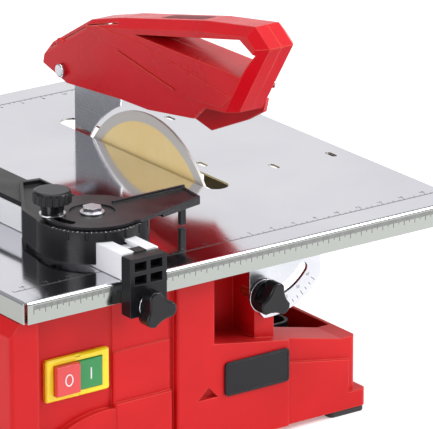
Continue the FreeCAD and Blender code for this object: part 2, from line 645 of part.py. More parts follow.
def make_motor_can():
    """Drawn motor casing, closed at the fan end around the rear bearing."""
    can = rod(MOTOR_RADIUS, on_arbor(MOTOR_REAR), MOTOR_LENGTH - SHIELD, X_AXIS)
    can = round_edges(can, 3.0, lambda b: b.XMax < MOTOR_REAR + 0.01)
    can = can.cut(rod(MOTOR_RADIUS - CAN_WALL, on_arbor(MOTOR_REAR + CAN_WALL), MOTOR_LENGTH, X_AXIS))
    seat = rod(BEARING_OUTER + 3, on_arbor(MOTOR_REAR + 1), CAN_WALL + BEARING_WIDTH - 1, X_AXIS)
    can = fused([can, seat])
    can = can.cut(rod(BEARING_OUTER, on_arbor(MOTOR_REAR + CAN_WALL), BEARING_WIDTH + 1, X_AXIS))
    vents = [rod(2.2, (MOTOR_REAR - 1, BLADE_Y + 27 * math.cos(math.radians(a)),
                       ARBOR_Z + 27 * math.sin(math.radians(a))), CAN_WALL + 2, X_AXIS)
             for a in range(0, 360, 30)]
    for vent in vents:
        can = can.cut(vent)
    return can


def make_motor_shield():
    """Aluminium end shield: closes the can, passes the partition and holds bearing and seal."""
    shield = fused([rod(MOTOR_RADIUS, on_arbor(MOTOR_FACE - SHIELD), SHIELD, X_AXIS),
                    rod(MOTOR_NOSE, on_arbor(MOTOR_FACE - 2), NOSE_LENGTH + 2, X_AXIS)])
    shield = shield.cut(rod(BEARING_OUTER, on_arbor(MOTOR_FACE - SHIELD - 1), BEARING_WIDTH + 1, X_AXIS))
    shield = shield.cut(rod(SEAL_OUTER, on_arbor(MOTOR_FACE + 2), NOSE_LENGTH, X_AXIS))
    shield = shield.cut(rod(SHAFT_RADIUS + 1, on_arbor(MOTOR_FACE - SHIELD), 30, X_AXIS))
    for y, z in motor_screw_places():
        shield = shield.cut(rod(MOTOR_SCREW, (MOTOR_FACE - SHIELD - 1, y, z), SHIELD + 2, X_AXIS))
    return shield


SEAL_OUTER = 12.0


def make_seal():
    """Lip seal that keeps water out of the motor."""
    return tube(SEAL_OUTER, SHAFT_RADIUS + RUN, on_arbor(MOTOR_FACE + 2), 6.0, X_AXIS)


def make_bearings():
    """Front and rear ball bearings, as closed rings."""
    starts = (MOTOR_FACE - SHIELD, MOTOR_REAR + CAN_WALL)
    return [tube(BEARING_OUTER, SHAFT_RADIUS + RUN, on_arbor(x), BEARING_WIDTH, X_AXIS) for x in starts]


STATOR_START = MOTOR_REAR + 34.0
STATOR_LENGTH = 62.0


def make_stator():
    """Laminated stator pack, held in the can."""
    return tube(MOTOR_RADIUS - CAN_WALL, STATOR_BORE, on_arbor(STATOR_START), STATOR_LENGTH, X_AXIS)


def make_windings():
    """Copper end turns at both ends of the stator."""
    ends = (STATOR_START - 11, STATOR_START + STATOR_LENGTH)
    rings = [tube(MOTOR_RADIUS - CAN_WALL - 2, STATOR_BORE + 2, on_arbor(x), 11, X_AXIS) for x in ends]
    return [round_edges(ring, 3.0, lambda b: b.DiagonalLength > 2 * STATOR_BORE) for ring in rings]


def make_motor_screws():
    """Screws through the partition into the end shield."""
    return [pan_screw((PARTITION_X, y, z), V(-1, 0, 0), MOTOR_SCREW, WALL + SHIELD - 2, 4.6, 3.0)
            for y, z in motor_screw_places()]


CORE_LEFT = BLADE_X - BLADE_CORE / 2
CORE_RIGHT = BLADE_X + BLADE_CORE / 2
FLANGE_RADIUS = 21.0
FLANGE_THICKNESS = 4.0
NUT_THICKNESS = 7.0
SHAFT_END = CORE_RIGHT + FLANGE_THICKNESS + NUT_THICKNESS + 1.5
SLEEVE_START = MOTOR_FACE + NOSE_LENGTH + 1.0


def make_shaft():
    """Motor shaft that carries the blade."""
    start = MOTOR_REAR + CAN_WALL + 0.5
    shaft = rod(SHAFT_RADIUS, on_arbor(start), SHAFT_END - start, X_AXIS)
    return shaft.makeChamfer(0.8, [e for e in shaft.Edges if e.BoundBox.XMin > SHAFT_END - 0.01])


def make_rotor():
    """Squirrel-cage rotor pack with its end rings."""
    start, length = STATOR_START - 2, STATOR_LENGTH + 4
    pack = tube(STATOR_BORE - 0.5, SHAFT_RADIUS, on_arbor(start), length, X_AXIS)
    ends = [tube(18, 10, on_arbor(x), 5, X_AXIS) for x in (start - 5, start + length)]
    return fused([pack] + ends)


def make_fan():
    """Cooling fan on the rear end of the shaft: a hub, a disc and eight straight blades."""
    start = MOTOR_REAR + CAN_WALL + BEARING_WIDTH + 2
    hub = tube(10, SHAFT_RADIUS, on_arbor(start), 8, X_AXIS)
    disc = tube(30, 9, on_arbor(start), 1.5, X_AXIS)
    vane = box(start, start + 8, BLADE_Y + 9, BLADE_Y + 33, ARBOR_Z - 0.8, ARBOR_Z + 0.8)
    vanes = []
    for k in range(8):
        turned = vane.copy()
        turned.rotate(V(*on_arbor(0)), X_AXIS, 45 * k)
        vanes.append(turned)
    return fused([hub, disc] + vanes)


def make_inner_flange():
    """Flange behind the blade, with the sleeve and the spigot that centres the blade."""
    body = fused([rod(FLANGE_RADIUS, on_arbor(CORE_LEFT - FLANGE_THICKNESS), FLANGE_THICKNESS, X_AXIS),
                  rod(9, on_arbor(SLEEVE_START), CORE_LEFT - SLEEVE_START, X_AXIS),
                  rod(BLADE_BORE / 2, on_arbor(CORE_LEFT - 1), BLADE_CORE + 0.9, X_AXIS)])
    return body.cut(rod(SHAFT_RADIUS, on_arbor(0), 100, X_AXIS))


def make_outer_flange():
    """Clamping flange in front of the blade."""
    disc = tube(FLANGE_RADIUS, SHAFT_RADIUS, on_arbor(CORE_RIGHT), FLANGE_THICKNESS, X_AXIS)
    return disc.makeChamfer(1.0, [e for e in disc.Edges if e.BoundBox.XMin > CORE_RIGHT + 3.9
                                  and e.BoundBox.YLength > 30])


def make_arbor_nut():
    """Hexagon nut that clamps the blade."""
    start = on_arbor(CORE_RIGHT + FLANGE_THICKNESS)
    return hexagon(17, start, NUT_THICKNESS, X_AXIS).cut(rod(SHAFT_RADIUS, start, 20, X_AXIS))


def make_blade():
    """Diamond blade: a thin core with a slightly thicker continuous rim."""
    radius = BLADE_DIAMETER / 2
    core = rod(radius - 1, on_arbor(CORE_LEFT), BLADE_CORE, X_AXIS)
    rim = tube(radius, radius - BLADE_RIM_DEPTH, on_arbor(BLADE_X - BLADE_RIM / 2), BLADE_RIM, X_AXIS)
    return fused([core, rim]).cut(rod(BLADE_BORE / 2, on_arbor(0), 100, X_AXIS))


# ---- riving knife and guard ---------------------------------------------------------------------
KNIFE_GAP = 4.5
KNIFE_REAR = 103.0
KNIFE_LOW_REAR = 125.0
KNIFE_BOTTOM = 80.0
KNIFE_SCREWS_Y = 117.0
KNIFE_SCREWS_Z = (88.0, 104.0)
KNIFE_TIP_Y = 41.0


def knife_arc(y):
    """Height on the knife's front edge, which keeps one gap from the blade."""
    radius = BLADE_DIAMETER / 2 + KNIFE_GAP
    return ARBOR_Z + math.sqrt(radius ** 2 - (y - BLADE_Y) ** 2)


def make_knife():
    """Riving knife behind the blade; its head carries the guard."""
    x0 = BLADE_X - KNIFE_THICKNESS / 2
    radius = BLADE_DIAMETER / 2 + KNIFE_GAP
    top = BOLT_Z - 2
    outline = [(BLADE_Y + 20, KNIFE_BOTTOM), (KNIFE_LOW_REAR, KNIFE_BOTTOM), (KNIFE_LOW_REAR, 116),
               (KNIFE_REAR, 123), (KNIFE_REAR, top), (KNIFE_TIP_Y, top), (KNIFE_TIP_Y, knife_arc(KNIFE_TIP_Y)),
               (BLADE_Y + 20, knife_arc(KNIFE_TIP_Y) - 8)]
    plate = prism_x(outline, x0, x0 + KNIFE_THICKNESS)
    plate = plate.cut(rod(radius, (x0 - 1, BLADE_Y, ARBOR_Z), KNIFE_THICKNESS + 2, X_AXIS))
    lug = rod(11.0, (x0, GUARD_BOLT_Y, BOLT_Z), KNIFE_THICKNESS, X_AXIS)
    plate = fused([plate, lug])
    plate = plate.cut(rod(GUARD_BOLT_RADIUS, (x0 - 1, GUARD_BOLT_Y, BOLT_Z), 10, X_AXIS))
    for z in KNIFE_SCREWS_Z:
        plate = plate.cut(rod(2.5, (x0 - 1, KNIFE_SCREWS_Y, z), 10, X_AXIS))
    return max(plate.Solids, key=lambda solid: solid.Volume)


def make_knife_bracket():
    """Steel bracket that holds the knife off the partition wall."""
    x1 = BLADE_X - KNIFE_THICKNESS / 2
    block = box(PARTITION_X, x1, KNIFE_SCREWS_Y - 7, KNIFE_SCREWS_Y + 7, 81, 111)
    foot = box(PARTITION_X, PARTITION_X + 4, KNIFE_SCREWS_Y - 7, KNIFE_SCREWS_Y + 24, 81, 111)
    bracket = fused([block, foot])
    for z in KNIFE_SCREWS_Z:
        bracket = bracket.cut(rod(2.5, (PARTITION_X + 8, KNIFE_SCREWS_Y, z), 30, X_AXIS))
    return bracket


def make_knife_screws():
    """Screws that hold the riving knife to its bracket."""
    x = BLADE_X + KNIFE_THICKNESS / 2
    return [pan_screw((x, KNIFE_SCREWS_Y, z), V(-1, 0, 0), 2.5, 14, 4.6, 3.2) for z in KNIFE_SCREWS_Z]


def guard_outline():
    """Side view of the guard as Y and height above the table: blunt tail, long back, faceted nose."""
    return [(89.0, 43.0), (122.0, 51.5), (118.0, 68.0), (64.5, 99.0), (25.0, 110.0), (-87.0, 135.0),
            (-148.0, 145.0), (-166.0, 132.0), (-128.0, 74.0), (-93.0, 70.0), (-79.5, 58.0), (-20.0, 49.5),
            (17.0, 48.5)]


def skirt_outline():
    """The wall on the far side, which reaches lower at the front."""
    return [(-10.0, 46.0), (-10.0, 60.0), (-127.0, 80.0), (-124.0, 69.0), (-103.0, 57.0), (-58.0, 37.0)]


def grip_outline():
    """The finger opening under the handle."""
    return [(-2.0, 104.5), (-137.5, 133.5), (-155.0, 125.5), (-138.0, 105.0)]


def guard_hollow():
    """The room for blade and knife, open at the bottom."""
    return [(86.0, 30.0), (119.0, 40.0), (118.6, 52.5), (115.5, 66.0), (63.5, 95.8), (25.0, 106.5), (0.0, 98.0),
            (-118.0, 94.0), (-118.0, 80.0), (-90.0, 30.0)]


GUARD_SCREWS = [(100.0, 72.0), (-66.0, 99.5), (-131.0, 92.0)]     # Y and height above the table
GUARD_SCREW_RADIUS = 1.6
GUARD_BOSS = 4.5


def over_table(points):
    """Outline points given as height above the table, moved up to it."""
    return [(y, z + TABLE_HEIGHT) for y, z in points]


def edge_on_back(edge):
    """True for the long edges along the guard's back and nose, which are chamfered."""
    heights = [v.Point.z - TABLE_HEIGHT for v in edge.Vertexes]
    places = [v.Point.y for v in edge.Vertexes]
    return edge.BoundBox.XLength < 0.01 and min(heights) > 67.0 and max(places) < 119.0 and (
        max(heights) - min(heights) > 5.0)


def whole_guard():
    """Both guard shells in one, with chamfered back, grip opening, hollow, bosses and bores."""
    body = prism_x(over_table(guard_outline()), GUARD_LEFT, GUARD_RIGHT)
    body = body.makeChamfer(GUARD_CHAMFER, [edge for edge in body.Edges if edge_on_back(edge)])
    body = body.cut(prism_x(over_table(grip_outline()), GUARD_LEFT - 1, GUARD_RIGHT + 1))
    body = body.cut(prism_x(over_table(guard_hollow()), GUARD_LEFT + GUARD_WALL, GUARD_RIGHT - GUARD_WALL))
    skirt = prism_x(over_table(skirt_outline()), GUARD_RIGHT - GUARD_WALL, GUARD_RIGHT)
    y, z = over_table(GUARD_SCREWS)[0]
    body = fused([body, skirt, rod(GUARD_BOSS, (GUARD_LEFT + 1, y, z), GUARD_WIDTH - 2, X_AXIS)])
    for y, z in over_table(GUARD_SCREWS):
        body = body.cut(rod(GUARD_SCREW_RADIUS, (GUARD_LEFT + 6, y, z), GUARD_WIDTH, X_AXIS))
    return body.cut(rod(GUARD_BOLT_RADIUS + RUN, (0, GUARD_BOLT_Y, BOLT_Z), 100, X_AXIS))


def make_guard_shells():
    """Left and right guard shells, split down the middle."""
    guard = whole_guard()
    left = box(GUARD_LEFT - 1, BLADE_X, -300, 300, 0, 500)
    right = box(BLADE_X, GUARD_RIGHT + 1, -300, 300, 0, 500)
    return guard.common(left), guard.common(right)


def make_guard_screws():
    """Screws from the right that hold the shells together."""
    return [pan_screw((GUARD_RIGHT, y, z), V(-1, 0, 0), GUARD_SCREW_RADIUS, GUARD_WIDTH - 6, 3.2, 2.0)
            for y, z in over_table(GUARD_SCREWS)]


def make_guard_bolt():
    """Bolt through guard and knife, with a domed head on the left."""
    start = (GUARD_LEFT - GAP, GUARD_BOLT_Y, BOLT_Z)
    return pan_screw(start, X_AXIS, GUARD_BOLT_RADIUS, GUARD_WIDTH + 2 * GAP + 6, 5.5, 3.5)


def make_guard_nut():
    """Self-locking nut on the right end of the guard bolt."""
    start = (GUARD_RIGHT + GAP, GUARD_BOLT_Y, BOLT_Z)
    return hexagon(13, start, 6, X_AXIS).cut(rod(GUARD_BOLT_RADIUS, start, 20, X_AXIS))


def make_guard_spacers():
    """Sleeves on the bolt that keep the guard centred over the knife."""
    half = KNIFE_THICKNESS / 2
    length = GUARD_WIDTH / 2 - GUARD_WALL - GAP - half
    starts = (BLADE_X - half - length, BLADE_X + half)
    return [tube(7, GUARD_BOLT_RADIUS, (x, GUARD_BOLT_Y, BOLT_Z), length, X_AXIS) for x in starts]


# ---- knobs --------------------------------------------------------------------------------------
def lobed_profile(reach, lobe, y):
    """Three-lobed outline around the Y axis: round lobes joined by hollow flanks."""
    edges = []
    hollow = reach * 0.62
    for k in range(3):
        middle = math.radians(120 * k + 90)
        tips = [middle - lobe, middle, middle + lobe]
        start, tip, end = [V(r * math.cos(a), y, r * math.sin(a))
                           for a, r in zip(tips, (reach * 0.9, reach, reach * 0.9))]
        after = math.radians(120 * (k + 1) + 90) - lobe
        flank = middle + math.radians(60)
        nxt = V(reach * 0.9 * math.cos(after), y, reach * 0.9 * math.sin(after))
        mid = V(hollow * math.cos(flank), y, hollow * math.sin(flank))
        edges += [Part.Arc(start, tip, end).toShape(), Part.Arc(end, mid, nxt).toShape()]
    return Part.Face(Part.Wire(edges))


def make_knob(x, y, z, flange, depth, reach, turn):
    """Three-lobed clamping knob whose flange sits at y, with its head towards -Y."""
    face = -depth - KNOB_HEAD
    head = lobed_profile(reach, math.radians(24), face).extrude(V(0, KNOB_HEAD - 1.5, 0))
    head = round_edges(head, 1.8, lambda b: b.YMax < face + 0.01)
    head.rotate(V(0, 0, 0), Y_AXIS, turn)
    neck = rod(flange * 0.72, (0, -depth - 2.5, 0), 3.5, Y_AXIS)
    knob = fused([head, neck, rod(flange, (0, -depth, 0), depth, Y_AXIS)])
    knob.translate(V(x, y, z))
    return knob.removeSplitter()


KNOB_HEAD = 12.5             # lobed head, in front of the flange
TILT_KNOB_FLANGE = 12.4
TILT_FLANGE_DEPTH = 5.5
TILT_KNOB_REACH = 14.0
FENCE_KNOB_FLANGE = 9.0
FENCE_FLANGE_DEPTH = 2.5
FENCE_KNOB_REACH = 14.5
FENCE_KNOB_DROP = 18.0
STUD_RADIUS = 3.0
SEAT = QUADRANT_Y - GAP      # where the tilt knob's flange ends


def make_tilt_knob():
    """Front tilt clamp knob, bearing on the quadrant."""
    x, z = clamp_place()
    return make_knob(x, SEAT, z, TILT_KNOB_FLANGE, TILT_FLANGE_DEPTH, TILT_KNOB_REACH, 10)


def make_tilt_stud():
    """Threaded stud of the front tilt knob, through the arc slot into the insert."""
    x, z = clamp_place()
    return rod(CLAMP_SCREW_RADIUS, (x, SEAT, z), 15.0, Y_AXIS)


def make_fence_knob():
    """Front fence clamp knob."""
    y = -RAIL_END - GAP - CLAMP_BLOCK_DEPTH - GAP
    return make_knob(FENCE_X, y, TABLE_HEIGHT - FENCE_KNOB_DROP, FENCE_KNOB_FLANGE, FENCE_FLANGE_DEPTH,
                     FENCE_KNOB_REACH, -20)


def make_fence_stud():
    """Threaded stud of the front fence knob, which presses on the table's rim."""
    y = -RAIL_END - GAP - CLAMP_BLOCK_DEPTH - GAP
    return rod(STUD_RADIUS, (FENCE_X, y, TABLE_HEIGHT - FENCE_KNOB_DROP), CLAMP_BLOCK_DEPTH, Y_AXIS)


# ---- fence --------------------------------------------------------------------------------------
KEYWAY = (5.0, 7.0, 4.0, 2.0)     # T-slot: half widths of neck and head, floor and lip below the rail's top


def t_section(play):
    """The T-slot's section in X and Z, shrunk by a play for the key that runs in it."""
    neck, head, floor, lip = KEYWAY
    neck, head, floor, lip = neck - play, head - play, RAIL_TOP - floor + play, RAIL_TOP - lip - play
    top = RAIL_TOP + 1
    return [(FENCE_X + x, z) for x, z in ((-neck, top), (-neck, lip), (-head, lip), (-head, floor),
                                          (head, floor), (head, lip), (neck, lip), (neck, top))]


def make_rail():
    """Extruded fence rail: a box section with two hollows and a T-slot in its top face."""
    x0, x1 = FENCE_X - FENCE_WIDTH / 2, FENCE_X + FENCE_WIDTH / 2
    rail = rounded_box(x0, x1, -RAIL_END, RAIL_END, RAIL_BOTTOM, RAIL_TOP, 0.8, "y")
    roof = RAIL_TOP - KEYWAY[2] - RAIL_WALL
    half = FENCE_WIDTH / 2 - 1.5 * RAIL_WALL
    for middle in (FENCE_X - half / 2 - RAIL_WALL / 4, FENCE_X + half / 2 + RAIL_WALL / 4):
        rail = rail.cut(rounded_box(middle - half / 2, middle + half / 2, -RAIL_END - 1, RAIL_END + 1,
                                    RAIL_BOTTOM + RAIL_WALL, roof, 1.0, "y"))
    return rail.cut(prism_y(t_section(0), -RAIL_END - 1, RAIL_END + 1))


HOOK = 4.0
KEY_LENGTH = 8.0             # of the block's key in the rail's T-slot
POCKET_SIZE = (10.5, 7.0)
POCKET_RIB = 3.2


def block_pockets(front):
    """Two by two moulded pockets in the upper half of a clamp block's face."""
    width, height = POCKET_SIZE
    cuts = []
    for column in (-1, 1):
        for row in (0, 1):
            x = FENCE_X + column * (width + POCKET_RIB) / 2
            z = BLOCK_TOP - POCKET_RIB - height / 2 - row * (height + POCKET_RIB)
            cuts.append(box(x - width / 2, x + width / 2, front - 1, front + CLAMP_BLOCK_DEPTH - 2.5,
                            z - height / 2, z + height / 2))
    return cuts


def make_clamp_block():
    """Front end block: it carries the rail's end, hooks behind the rim, and holds the clamp screw."""
    x0, x1 = FENCE_X - FENCE_WIDTH / 2, FENCE_X + FENCE_WIDTH / 2
    back = -RAIL_END - GAP
    front = back - CLAMP_BLOCK_DEPTH
    low = TABLE_HEIGHT - BLOCK_DROP
    inside = -TABLE_DEPTH / 2 + SHEET + GAP
    bridge_top = TABLE_HEIGHT - RIM_DROP - 2 * GAP
    block = rounded_box(x0, x1, front, back, low, BLOCK_TOP, 1.2, "y")
    bridge = box(x0 + 4, x1 - 4, back - 2, inside + HOOK, low, bridge_top)
    hook = box(x0 + 4, x1 - 4, inside, inside + HOOK, low, bridge_top + 9)
    key = prism_y(t_section(0), back - 1, back + KEY_LENGTH)
    key = key.common(box(x0, x1, back - 1, back + KEY_LENGTH, RAIL_BOTTOM, RAIL_TOP))
    block = fused([block, bridge, hook, key])
    for cut in block_pockets(front):
        block = block.cut(cut)
    return block.cut(rod(STUD_RADIUS + RUN, (FENCE_X, front - 1, TABLE_HEIGHT - FENCE_KNOB_DROP), 40, Y_AXIS))


# ---- mitre stop ---------------------------------------------------------------------------------
BAR_BOTTOM = RAIL_TOP + GAP
BAR_TOP = TABLE_HEIGHT + 24.0
DECK_BOTTOM = TABLE_HEIGHT + 21.0
RING_TOP = TABLE_HEIGHT + 27.0
RING_WALL = 3.5
WALL_BOTTOM = TABLE_HEIGHT + 3.5
BOSS_BOTTOM = TABLE_HEIGHT + 10.0
HEAD_BOTTOM = RING_TOP + GAP
HEAD_THICKNESS = 2.6
HEAD_TOP = HEAD_BOTTOM + HEAD_THICKNESS
HEAD_RADIUS = 37.0
ARM_REACH = 86.0             # right end of the arm, from the swivel axis
ARM_FACE = 7.0               # working face, behind the swivel axis
ARM_FRONT = -18.0            # front corner of the arm's right end
ARM_DEPTH = 6.3
ARM_ROOT = 44.0              # outside the ring, where the arm may reach down
CLAMP_RING = 29.5            # radius of the head's arc slot
CLAMP_BEARING = 159.0        # direction of the clamp knob from the swivel axis, degrees
PIVOT_SCREW_RADIUS = 4.0


def around_stop(radius, degrees):
    """Point in plan around the swivel axis."""
    turn = math.radians(degrees)
    return STOP_X + radius * math.cos(turn), STOP_Y + radius * math.sin(turn)


def deck_outline():
    """Rear part of the stop's deck: slanted on the left, straight along the rail on the right."""
    return [(STOP_X - STOP_RADIUS + 0.5, STOP_Y), (-129.0, -104.0), (-94.0, -48.0), (-78.0, -51.0),
            (-78.0, STOP_Y)]


def lip_outline():
    """The deck outline, one rim further in."""
    return [(STOP_X - STOP_RADIUS + 4, STOP_Y), (-126.0, -105.0), (-93.5, -52.0), (-80.0, -54.5), (-80.0, STOP_Y)]


def make_shoe():
    """Slide of the mitre stop: a bar on the rail, and a notched round deck for the swivelling head."""
    x0, x1 = FENCE_X - FENCE_WIDTH / 2, FENCE_X + FENCE_WIDTH / 2
    bar = rounded_box(x0, x1, STOP_Y - 30, BAR_REAR, BAR_BOTTOM, BAR_TOP, 12.0, "z")
    key = prism_y(t_section(0.3), STOP_Y - 20, BAR_REAR - 8)
    drum = rod(STOP_RADIUS, (STOP_X, STOP_Y, WALL_BOTTOM), RING_TOP - WALL_BOTTOM, Z_AXIS)
    plate = prism_z(deck_outline(), WALL_BOTTOM, RING_TOP)
    body = fused([drum, plate])
    inside = fused([rod(STOP_RADIUS - RING_WALL, (STOP_X, STOP_Y, 0), DECK_BOTTOM, Z_AXIS),
                    prism_z(lip_outline(), 0, DECK_BOTTOM)])
    above = fused([rod(STOP_RADIUS - RING_WALL, (STOP_X, STOP_Y, DECK_BOTTOM + 3), 20, Z_AXIS),
                   prism_z(lip_outline(), DECK_BOTTOM + 3, DECK_BOTTOM + 20)])
    body = body.cut(inside).cut(above)
    hub = rod(18, (STOP_X, STOP_Y, DECK_BOTTOM), RING_TOP - DECK_BOTTOM, Z_AXIS)
    boss = rod(6.2, stop_clamp_place() + (BOSS_BOTTOM,), RING_TOP - BOSS_BOTTOM, Z_AXIS)
    shoe = fused([body, bar, key, hub, boss])
    lane = box(x0 - GAP, x1 + GAP, -300, 300, 0, BAR_BOTTOM)
    shoe = shoe.cut(lane.cut(prism_y(t_section(0.3), -299, 299)))
    for k in range(9):
        x, y = around_stop(STOP_RADIUS + 0.4, 190 + 20 * k)
        shoe = shoe.cut(rod(1.5, (x, y, DECK_BOTTOM), 20, Z_AXIS))
    shoe = shoe.cut(rod(STUD_RADIUS + RUN, stop_clamp_place() + (0,), 400, Z_AXIS))
    shoe = shoe.cut(rod(PIVOT_SCREW_RADIUS, (STOP_X, STOP_Y, BAR_BOTTOM + 0.7), 60, Z_AXIS))
    return max(shoe.Solids, key=lambda solid: solid.Volume)


def stop_clamp_place():
    """Where the head's clamp stud stands, left of and behind the swivel axis."""
    return around_stop(CLAMP_RING, CLAMP_BEARING)


def ring_slot(radius, half_width, start, end, z0, z1):
    """Arc slot around the swivel axis, cut along Z."""
    def point(r, degrees):
        return V(*around_stop(r, degrees), z0)
    middle = (start + end) / 2
    inner, outer = radius - half_width, radius + half_width
    past = math.degrees(half_width / radius)
    edges = [Part.Arc(point(outer, start), point(outer, middle), point(outer, end)).toShape(),
             Part.Arc(point(outer, end), point(radius, end + past), point(inner, end)).toShape(),
             Part.Arc(point(inner, end), point(inner, middle), point(inner, start)).toShape(),
             Part.Arc(point(inner, start), point(radius, start - past), point(outer, start)).toShape()]
    return Part.Face(Part.Wire(edges)).extrude(V(0, 0, z1 - z0))


def from_axis(points):
    """Outline points given from the swivel axis."""
    return [(STOP_X + x, STOP_Y + y) for x, y in points]


def make_stop_head():
    """Swivelling head: a slotted round plate and the tapered arm with the working face."""
    disc = rod(HEAD_RADIUS, (STOP_X, STOP_Y, HEAD_BOTTOM), HEAD_THICKNESS, Z_AXIS)
    end = ARM_REACH - 3
    slope = (ARM_FRONT + 42) / (end - 18)
    web = prism_z(from_axis([(20, ARM_FACE), (ARM_REACH, ARM_FACE), (end, ARM_FRONT), (18, -42 + 6), (0, -30)]),
                  HEAD_BOTTOM, HEAD_TOP)
    root_front = -36 + slope * (ARM_ROOT - 18)
    beam = prism_z(from_axis([(ARM_ROOT, ARM_FACE), (ARM_REACH, ARM_FACE), (end, ARM_FRONT),
                              (ARM_ROOT, root_front)]), HEAD_TOP - ARM_DEPTH, HEAD_TOP)
    well = prism_z(from_axis([(ARM_ROOT + 2, ARM_FACE - 2), (ARM_REACH - 2, ARM_FACE - 2),
                              (end - 2, ARM_FRONT + 1.5), (ARM_ROOT + 2, root_front + 2)]),
                   HEAD_TOP - 1.0, HEAD_TOP + 1)
    face = box(STOP_X + ARM_ROOT, STOP_X + ARM_REACH, STOP_Y + ARM_FACE - 3, STOP_Y + ARM_FACE,
               HEAD_TOP - 11, HEAD_TOP)
    leg = box(STOP_X + ARM_REACH - 5, STOP_X + ARM_REACH, STOP_Y + ARM_FACE - 3, STOP_Y + ARM_FACE,
              TABLE_HEIGHT + 1.5, HEAD_TOP)
    lip = box(STOP_X + 22, STOP_X + ARM_REACH, STOP_Y + ARM_FACE - 1.6, STOP_Y + ARM_FACE, HEAD_TOP - 1,
              HEAD_TOP + 1.6)
    head = fused([disc, web, beam]).cut(well)
    head = fused([head, face, leg, lip])
    head = head.cut(ring_slot(CLAMP_RING, STUD_RADIUS + GAP, CLAMP_BEARING - SWIVEL_MAX - 1,
                              CLAMP_BEARING + SWIVEL_MAX + 1, HEAD_BOTTOM - 1, HEAD_TOP + 1))
    head = head.cut(rod(17.0, (STOP_X, STOP_Y, HEAD_TOP - 1.2), 5, Z_AXIS))
    return head.cut(rod(PIVOT_SCREW_RADIUS + RUN, (STOP_X, STOP_Y, HEAD_BOTTOM - 1), 10, Z_AXIS))


def make_pivot_screw():
    """Shouldered hexagon screw that the head swivels on."""
    seat = HEAD_TOP - 1.2 + GAP
    shank = rod(PIVOT_SCREW_RADIUS, (STOP_X, STOP_Y, BAR_BOTTOM + 1), seat - BAR_BOTTOM - 1, Z_AXIS)
    return fused([shank, hexagon(13, (STOP_X, STOP_Y, seat), 4.5, Z_AXIS), rod(9, (STOP_X, STOP_Y, seat), 1.0, Z_AXIS)])


STOP_KNOB_RADIUS = 14.3
STOP_KNOB_HEIGHT = 17.5
WASHER_THICKNESS = 1.2
KNOB_SEAT = HEAD_TOP + GAP


def make_stop_washer():
    """Washer under the clamp knob."""
    return tube(9.8, STUD_RADIUS, stop_clamp_place() + (KNOB_SEAT,), WASHER_THICKNESS, Z_AXIS)


def make_stop_knob():
    """Fluted round clamp knob of the mitre stop, domed on top."""
    x, y = stop_clamp_place()
    z = KNOB_SEAT + WASHER_THICKNESS
    rim = z + STOP_KNOB_HEIGHT - 9
    knob = fused([Part.makeCone(8.0, 9.5, rim - z + 1, V(x, y, z)), rod(STOP_KNOB_RADIUS, (x, y, rim), 9, Z_AXIS)])
    knob = round_edges(knob, 2.5, lambda b: b.ZMin > z + STOP_KNOB_HEIGHT - 0.1)
    for k in range(18):
        turn = math.radians(360 / 18 * k)
        knob = knob.cut(rod(1.3, (x + (STOP_KNOB_RADIUS + 0.4) * math.cos(turn),
                                  y + (STOP_KNOB_RADIUS + 0.4) * math.sin(turn), rim - 1), 9, Z_AXIS))
    return knob.cut(rod(STUD_RADIUS, (x, y, z - 1), 9, Z_AXIS))


def make_stop_stud():
    """Threaded stud of the clamp knob, through the head into the shoe."""
    bottom = BOSS_BOTTOM + 2
    return rod(STUD_RADIUS, stop_clamp_place() + (bottom,), KNOB_SEAT + WASHER_THICKNESS + 8 - bottom, Z_AXIS)


# ---- electrics inside ---------------------------------------------------------------------------
CAPACITOR_RADIUS = 17.0


def make_capacitor():
    """Run capacitor of the motor, lying on the floor of the dry side."""
    can = rod(CAPACITOR_RADIUS, (-150, 70, FOOT_HEIGHT + WALL + CAPACITOR_RADIUS), 72, Y_AXIS)
    can = round_edges(can, 1.5, lambda b: b.YLength < 0.01)
    return fused([can, rod(4, (-150, 60, FOOT_HEIGHT + WALL + CAPACITOR_RADIUS), 12, Y_AXIS)])


# ---- export -------------------------------------------------------------------------------------
def both(maker):
    """Front and rear copies of a piece, as one group."""
    return Part.makeCompound(front_and_rear(maker()))


def group(shapes):
    """Identical pieces as one node of separate solids."""
    return Part.makeCompound(shapes)


